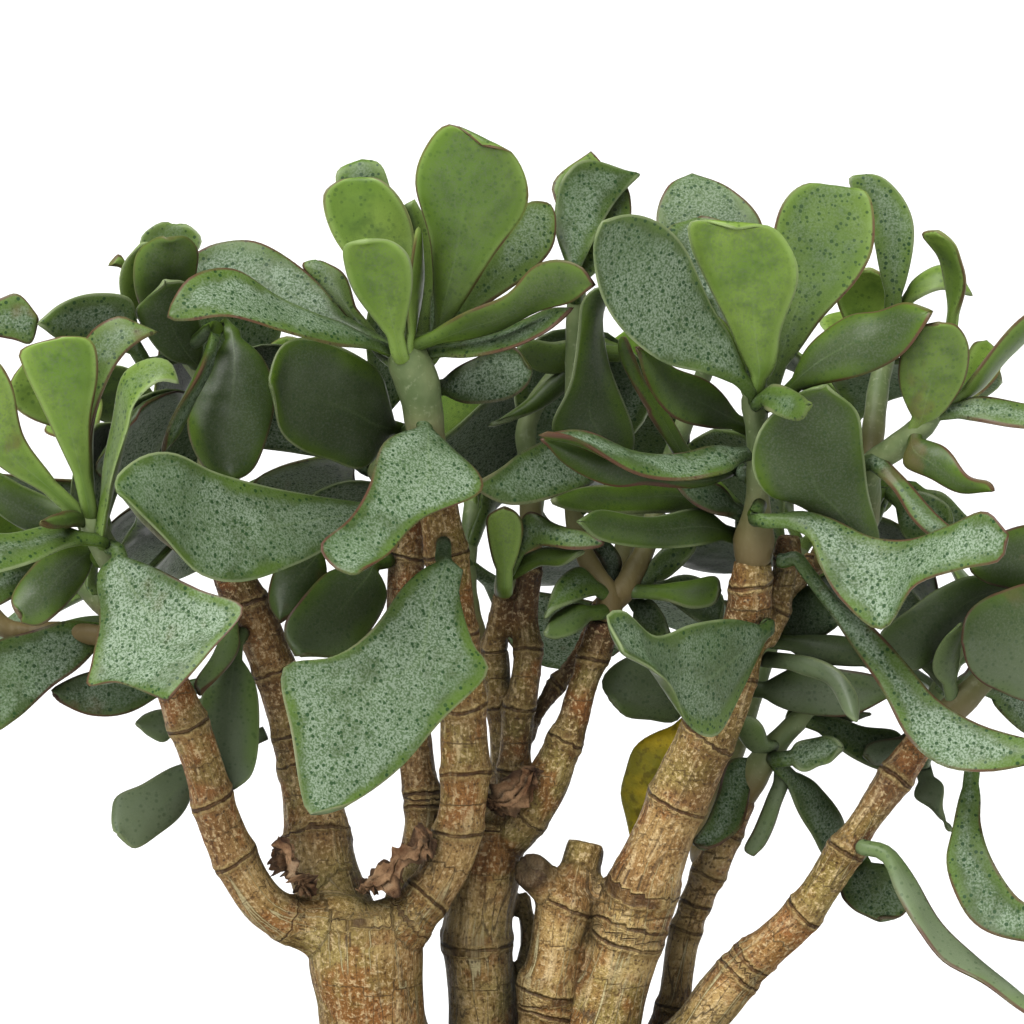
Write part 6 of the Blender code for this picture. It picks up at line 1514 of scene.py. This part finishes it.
def bark_look():
    """Brown papery bark over green flesh: long pale cracks and fine dark ones on old stems, dark mottling
    on younger ones, and leaf-scar rings with two pale lips, a dark groove and rows of pits."""
    s = Shade("bark")
    off, _, painted_end_shade, _ = s.layer("look")
    parts = s.node("ShaderNodeAttribute", attribute_name="grain")
    skin, long_skin, longest = (s.stretched((GRAIN_WIDTH, GRAIN_WIDTH, run), parts.outputs["Vector"])
                                for run in (GRAIN_LENGTH, 32, 12))
    height = s.node("ShaderNodeSeparateXYZ", [(0, s.coords)]).outputs[2]
    old = s.range(s.plus(height, s.times(s.noise(30, 2), 0.04)), 0.19, 0.125)
    off = s.times(s.less(off, 0.5), RING_RANGE)
    off = s.plus(off, s.times(s.less(s.noise(0.3, 3, where=skin), 0.5), 1.3))
    near = s.math("ABSOLUTE", off)
    slow = s.noise(50, 3)
    streak = s.noise(0.5, 4, 0.65, where=long_skin)
    speck = s.noise(1100, 2, 0.7)
    young = s.mix(s.range(slow, 0.35, 0.65), (0.1, 0.036, 0.008), (0.3, 0.15, 0.038))
    aged = s.mix(s.range(slow, 0.35, 0.65), (0.33, 0.17, 0.045), (0.66, 0.47, 0.18))
    colour = s.mix(old, young, aged)
    moss = s.times(s.range(s.noise(36, 2), 0.45, 0.62), 0.6)
    colour = s.mix(moss, colour, (0.23, 0.2, 0.04))
    rust = s.times(s.range(s.noise(75, 3, 0.65), 0.5, 0.62), 0.7)
    colour = s.mix(rust, colour, (0.3, 0.1, 0.018))
    colour = s.mix(s.range(streak, 0.53, 0.7, 0, 0.6), colour, (0.78, 0.6, 0.32))
    colour = s.mix(s.range(streak, 0.47, 0.3, 0, 0.7), colour, (0.1, 0.038, 0.008))
    colour = s.mix(s.range(speck, 0.52, 0.66, 0, 0.65), colour, (0.8, 0.6, 0.32))
    colour = s.mix(s.range(speck, 0.47, 0.3, 0, 0.75), colour, (0.075, 0.03, 0.008))
    bent = s.node("ShaderNodeVectorMath", [(0, long_skin), (1, s.swirl(0.5, long_skin, 1.6))],
                  operation="ADD")
    fissure = s.cells(0.34, 1.0, "DISTANCE_TO_EDGE", bent.outputs[0])[0]
    split_here = s.times(old, s.range(s.noise(60, 2), 0.42, 0.58))
    split = s.times(s.range(fissure, 0.035, 0.008), split_here)
    colour = s.mix(s.times(split, 0.8), colour, (0.07, 0.045, 0.02))
    wave = s.noise(0.3, 1.5, 0.4, where=longest)
    line = s.math("ABSOLUTE", s.less(wave, 0.5))
    seam_here = s.times(old, s.range(s.noise(40, 2), 0.56, 0.46))
    flank = s.times(s.range(line, 0.03, 0.012), seam_here)
    colour = s.mix(s.times(flank, 0.65), colour, (0.13, 0.09, 0.025))
    seam = s.times(s.range(line, 0.011, 0.004), seam_here)
    colour = s.mix(s.times(seam, 0.85), colour, (0.6, 0.52, 0.28))
    # Painted shade: a soft darker band on either side of each leaf-scar ring, as if shadowed by its
    # swelling.
    painted_ring_shadow = s.range(near, 3.6, 0.8, 0, 0.4)
    colour = s.mix(painted_ring_shadow, colour, (0.17, 0.08, 0.02))
    lips = s.times(s.range(near, 1.5, 0.6), s.range(near, 0.2, 0.6))
    lips = s.times(lips, s.range(speck, 0.35, 0.6, 0.35, 1))
    colour = s.mix(s.times(lips, 0.6), colour, (0.68, 0.5, 0.2))
    groove = s.times(s.range(near, 0.5, 0.1, 0, 0.8),
                    s.range(s.noise(260, 3), 0.35, 0.6, 0.35, 1))
    colour = s.mix(groove, colour, (0.05, 0.02, 0.006))
    band = s.range(s.math("ABSOLUTE", s.less(near, 2.1)), 0.7, 0.3)
    pits = s.range(s.cells(1.15, 0.6, where=skin)[0], 0.42, 0.22)
    colour = s.mix(s.times(s.times(band, pits), 0.7), colour, (0.04, 0.018, 0.007))
    # Painted shade: the broken stem's end is darkened to near black, as if in shadow.
    colour = s.mix(s.times(painted_end_shade, 0.85), colour, (0.03, 0.014, 0.007))
    rise = s.plus(s.times(streak, 1.1), s.times(speck, 0.6))
    rise = s.plus(rise, s.times(lips, 0.45))
    rise = s.less(rise, s.times(s.range(near, 0.4, 0.1), 0.8))
    s.bump(rise, 0.9, 0.0012)
    # Shade is painted into the bark colour where stems lie close together.
    return s.finish(colour, s.range(streak, 0.3, 0.7, 0.7, 0.5), Specular_IOR_Level=0.35,
                    painted_shade=(0.04, 0.9))


def dry_leaf_look():
    """Withered brown skin, darkest at its torn edges, with shade painted into its folds."""
    s = Shade("dry leaf")
    edge, _, _, _ = s.layer("look")
    colour = s.mix(s.range(s.noise(150, 5, 0.7), 0.35, 0.65), (0.16, 0.07, 0.028), (0.55, 0.33, 0.17))
    colour = s.mix(s.range(s.noise(420, 4), 0.55, 0.7, 0, 0.6), colour, (0.5, 0.36, 0.22))
    colour = s.mix(s.range(edge, 0.06, 0.0, 0, 0.8), colour, (0.03, 0.014, 0.008))
    s.bump(s.noise(420, 5, 0.75), 1.0, 0.002)
    # Shade is painted into the folds of the withered leaf.
    return s.finish(colour, 0.7, Specular_IOR_Level=0.3, painted_shade=(0.008, 0.8))


def yellow_leaf_look():
    """A fading leaf: ochre flesh with green and brown patches."""
    s = Shade("yellow leaf")
    colour = s.mix(s.range(s.noise(90, 4, 0.6), 0.35, 0.65), (0.5, 0.36, 0.01), (0.22, 0.2, 0.012))
    colour = s.mix(s.range(s.noise(500, 4), 0.52, 0.66, 0, 0.6), colour, (0.1, 0.075, 0.01))
    s.bump(s.noise(260, 4), 0.8, 0.0012)
    return s.finish(colour, 0.6, Specular_IOR_Level=0.3)


def clay_look():
    """Unglazed dark brown clay with speckles and faint patches of lime bloom."""
    s = Shade("pot clay")
    colour = s.mix(s.range(s.noise(30, 4), 0.3, 0.7), (0.12, 0.055, 0.032), (0.17, 0.082, 0.05))
    speck = s.range(s.cells(900)[0], 0.22, 0.1, 0, 0.5)
    colour = s.mix(speck, colour, (0.3, 0.2, 0.14))
    colour = s.mix(s.range(s.noise(14, 5, 0.6), 0.55, 0.75, 0, 0.3), colour, (0.32, 0.26, 0.21))
    s.bump(s.plus(s.noise(260, 5, 0.6), s.times(s.noise(1400, 3), 0.4)), 0.5, 0.0008)
    return s.finish(colour, 0.62, Specular_IOR_Level=0.35)


def soil_look():
    """Dark moist earth."""
    s = Shade("soil")
    colour = s.mix(s.range(s.noise(180, 5, 0.7), 0.3, 0.7), (0.02, 0.012, 0.008), (0.075, 0.045, 0.028))
    s.bump(s.noise(500, 5, 0.7), 1.0, 0.002)
    return s.finish(colour, 0.95)


def grain_look():
    """Brown grains of every tone, and a few pale ones."""
    s = Shade("soil grains")
    tone, pale, _, _ = s.layer("look")
    colour = s.mix(tone, (0.045, 0.024, 0.014), (0.19, 0.115, 0.065))
    colour = s.mix(pale, colour, (0.48, 0.43, 0.36))
    s.bump(s.noise(1500, 4), 0.7, 0.0006)
    return s.finish(colour, 0.9)


def make_fine_pot(look):
    """The pot turned again with rounded edges, its feet softened and its drain holes cut."""
    taper = POT_TAPER
    outer = [(2 * taper + 7, POT_FOOT), (2 * taper + 3.6, POT_FOOT + 0.7), (2 * taper + 1.2, POT_FOOT + 2.4)]
    top = POT_HEIGHT - LIP_HEIGHT
    for k in range(1, 15):
        t = k / 14
        outer.append((2 * taper * (1 - t) ** 1.15 + 5 * t, POT_FOOT + 3 + (top - POT_FOOT - 4.2) * t))
    outer += [(4.8, top - 0.5), (3.6, top + 0.1), (1.2, top + 0.5), (0.3, top + 1.2), (0, top + 2.4),
              (0, top + LIP_HEIGHT * 0.6), (0.2, POT_HEIGHT - 2.2), (1.0, POT_HEIGHT - 0.9),
              (2.6, POT_HEIGHT - 0.15), (4.4, POT_HEIGHT)]
    rings = [oval(POT_LENGTH - inset, POT_WIDTH - inset, z, POT_SIDES) for inset, z in outer]
    floor = POT_FOOT + POT_FLOOR
    for z in (POT_HEIGHT, POT_HEIGHT - 0.4, POT_HEIGHT - 1.4, POT_HEIGHT - 3, POT_HEIGHT - 12,
              POT_HEIGHT / 2, 24, floor + 3, floor + 1, floor):
        ease = -1.6 * math.exp(-(POT_HEIGHT - z) / 0.5)
        rings.append(oval(POT_LENGTH - inside(z) + ease, POT_WIDTH - inside(z) + ease, z, POT_SIDES))
    points, faces = lathe(rings)
    pot = make_mesh("fine_pot", points, faces, {"look": [(0, 0, 0, 1)] * len(points)}, None, (look,))
    others = []
    for i in (-1, 1):
        x = CENTRE_X + i * POT_LENGTH * DRAIN_PLACE
        others.append(make_mesh("drain", *rod(x, CENTRE_Y, -5, floor + 10, DRAIN_RADIUS, 48), {}))
    cut = pot.modifiers.new("drains", "BOOLEAN")
    cut.operation = "DIFFERENCE"
    cut.operand_type = "COLLECTION"
    group = bpy.data.collections.new("drains")
    for other in others:
        group.objects.link(other)
    cut.collection = group
    bpy.context.view_layer.update()
    mesh = bpy.data.meshes.new_from_object(pot.evaluated_get(bpy.context.evaluated_depsgraph_get()))
    pot.modifiers.clear()
    pot.data = mesh
    for other in others:
        bpy.data.objects.remove(other)
    bpy.data.collections.remove(group)
    pot.data.set_sharp_from_angle(angle=math.radians(40))
    stand_for(pot, "pot")
    for i in (-1, 1):
        for j in (-1, 1):
            x, y = CENTRE_X + i * POT_LENGTH * FOOT_PLACE, CENTRE_Y + j * POT_WIDTH * FOOT_PLACE
            shape = block(Vector((x, y, FOOT_BLOCK / 2)), (FOOT_LENGTH, FOOT_WIDTH, FOOT_BLOCK))
            foot = make_mesh("pot_foot", *shape, {}, None, (look,))
            round_off = foot.modifiers.new("round", "BEVEL")
            round_off.width = 1.6 * MM
            round_off.segments = 4
            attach(foot, "root")


def make_fine_soil(wood, look, grain):
    """A lumpy bed of earth, and loose grains of a few sizes lying on it, clear of the stems."""
    rng = random.Random(11)
    floor = POT_FOOT + POT_FLOOR
    rings = [oval(POT_LENGTH - inside(z) - 0.8, POT_WIDTH - inside(z) - 0.8, z + 0.3, SOIL_SIDES)
             for z in (floor, floor + 3, POT_HEIGHT / 2, SOIL_LEVEL - 3)]
    hollow = inside(SOIL_LEVEL - 1) + 1
    for k in range(SOIL_STEPS):
        t = k / SOIL_STEPS
        level = SOIL_LEVEL - 0.6 + 1.8 * min(1, t * 2)
        ring = oval((POT_LENGTH - hollow) * (1 - t), (POT_WIDTH - hollow) * (1 - t), level, SOIL_SIDES)
        for p in ring:
            p.z += 0.5 * math.sin(p.x * 0.5 + 1) * math.sin(p.y * 0.43) + rng.uniform(-0.25, 0.25)
        rings.append(ring)
    points, faces = lathe(rings)
    bed = make_mesh("fine_soil", points, faces, {"look": [(0, 0, 0, 1)] * len(points)}, None, (look,))
    stand_for(bed, "soil")
    near = [(line[0][0].lerp(line[1][0], 0.45), line[0][1]) for name, line in wood.items() if name in ROOTED]
    shape = bmesh.new()
    bmesh.ops.create_icosphere(shape, subdivisions=1, radius=1)
    ball = [v.co.copy() for v in shape.verts]
    ball_faces = [tuple(v.index for v in f.verts) for f in shape.faces]
    shape.free()
    points, faces, look_rows = [], [], []
    lying = 0
    while lying < GRAINS:
        turn, far = rng.uniform(0, 6.283), math.sqrt(rng.random())
        c, s = math.cos(turn), math.sin(turn)
        reach = far * (abs(c) ** POT_CORNER + abs(s) ** POT_CORNER) ** (-1 / POT_CORNER)
        x = CENTRE_X + (POT_LENGTH - inside(SOIL_LEVEL) - 5) / 2 * reach * c
        y = CENTRE_Y + (POT_WIDTH - inside(SOIL_LEVEL) - 5) / 2 * reach * s
        size = rng.choice(GRAIN_SIZES) * rng.uniform(0.8, 1.2)
        at = Vector((x, y, SOIL_LEVEL + 0.6 + 0.9 * (1 - far) + rng.uniform(-0.4, 0.5)))
        if any((at.xy - p.xy).length < r + size * 0.7 for p, r in near):
            continue
        scale = Vector((rng.uniform(0.7, 1.25), rng.uniform(0.7, 1.25), rng.uniform(0.55, 0.9))) * size
        axis = (rng.uniform(-1, 1), rng.uniform(-1, 1), rng.uniform(-1, 1))
        turned = Quaternion(axis, rng.uniform(0, 3)).normalized()
        start = len(points)
        rough = [rng.uniform(0.82, 1.15) for p in ball]
        points += [at + turned @ (p * scale * k) for p, k in zip(ball, rough)]
        faces += [tuple(start + k for k in f) for f in ball_faces]
        row = (rng.random(), 1.0 if rng.random() < PALE_GRAINS else 0.0, 0, 1)
        look_rows += [row] * len(ball)
        lying += 1
    grains = make_mesh("soil_grains", points, faces, {"look": look_rows}, None, (grain,))
    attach(grains, "root")


def make_camera():
    """The photo's camera: far away, a little above, with a frame as wide as the photo."""
    aim = Vector((0, math.cos(PITCH), -math.sin(PITCH)))
    eye = Vector(LOOK_AT) - aim * FAR
    data = bpy.data.cameras.new("camera")
    data.sensor_width = 36
    data.lens = 36 * FAR / (2 * PICTURE_MIDDLE)
    data.clip_end = 20
    camera = bpy.data.objects.new("camera", data)
    camera.location = placed(eye)
    camera.rotation_euler = (math.pi / 2 - PITCH, 0, 0)
    bpy.context.scene.collection.objects.link(camera)
    bpy.context.scene.camera = camera


def make_studio():
    """Pale paper out to the horizon, painted greyer near the pot as a shadow pool, and two wide
    soft suns from above and in front.
    """
    mesh = bpy.data.meshes.new("floor")
    corners = [(i * FLOOR_HALF, j * FLOOR_HALF, 0) for i, j in ((-1, -1), (1, -1), (1, 1), (-1, 1))]
    mesh.from_pydata(corners, [], [(0, 1, 2, 3)])
    paper = Shade("pale paper")
    far = paper.node("ShaderNodeVectorMath", [(0, paper.coords)], operation="LENGTH").outputs["Value"]
    # Painted shade: the paper is grey near the pot, as a shadow pool, and white farther out.
    tone = paper.mix(paper.range(far, PAPER_FROM, PAPER_TO), SHADED_NEAR_PAPER, WHITE)
    mesh.materials.append(paper.finish(tone, 1.0, Specular_IOR_Level=0.0))
    floor = bpy.data.objects.new("floor", mesh)
    bpy.context.scene.collection.objects.link(floor)
    world = bpy.data.worlds.new("studio")
    world.use_nodes = True
    tree = world.node_tree
    place = tree.nodes.new("ShaderNodeTexCoord")
    split = tree.nodes.new("ShaderNodeSeparateXYZ")
    fade = tree.nodes.new("ShaderNodeMapRange")
    fade.interpolation_type = "SMOOTHSTEP"
    for name, value in (("From Min", 0.03), ("From Max", 0.12), ("To Min", 1.0), ("To Max", SKY)):
        fade.inputs[name].default_value = value
    tree.links.new(place.outputs["Generated"], split.inputs[0])
    tree.links.new(split.outputs["Z"], fade.inputs["Value"])
    tree.links.new(fade.outputs[0], tree.nodes["Background"].inputs["Strength"])
    tree.nodes["Background"].inputs["Color"].default_value = (1, 1, 1, 1)
    bpy.context.scene.world = world
    for name, power, spread, tilt, turn in (("key", KEY, 40, 33, -34), ("front", FRONT, 40, 70, 16)):
        data = bpy.data.lights.new(name, "SUN")
        data.energy = power
        data.angle = math.radians(spread)
        light = bpy.data.objects.new(name, data)
        light.rotation_euler = (math.radians(tilt), 0, math.radians(turn))
        bpy.context.scene.collection.objects.link(light)
    bpy.context.scene.view_settings.view_transform = "Standard"


make_camera()
make_studio()
looks = {"leaf": leaf_look(), "green_stem": green_stem_look(), "dry_leaf": dry_leaf_look(),
         "yellow_leaf": yellow_leaf_look()}
wood, stems, leaves, left = plant()
leafy_pieces(stems, leaves, looks)
trunk_piece(wood, bark_look())
make_fine_pot(clay_look())
make_fine_soil(wood, soil_look(), grain_look())
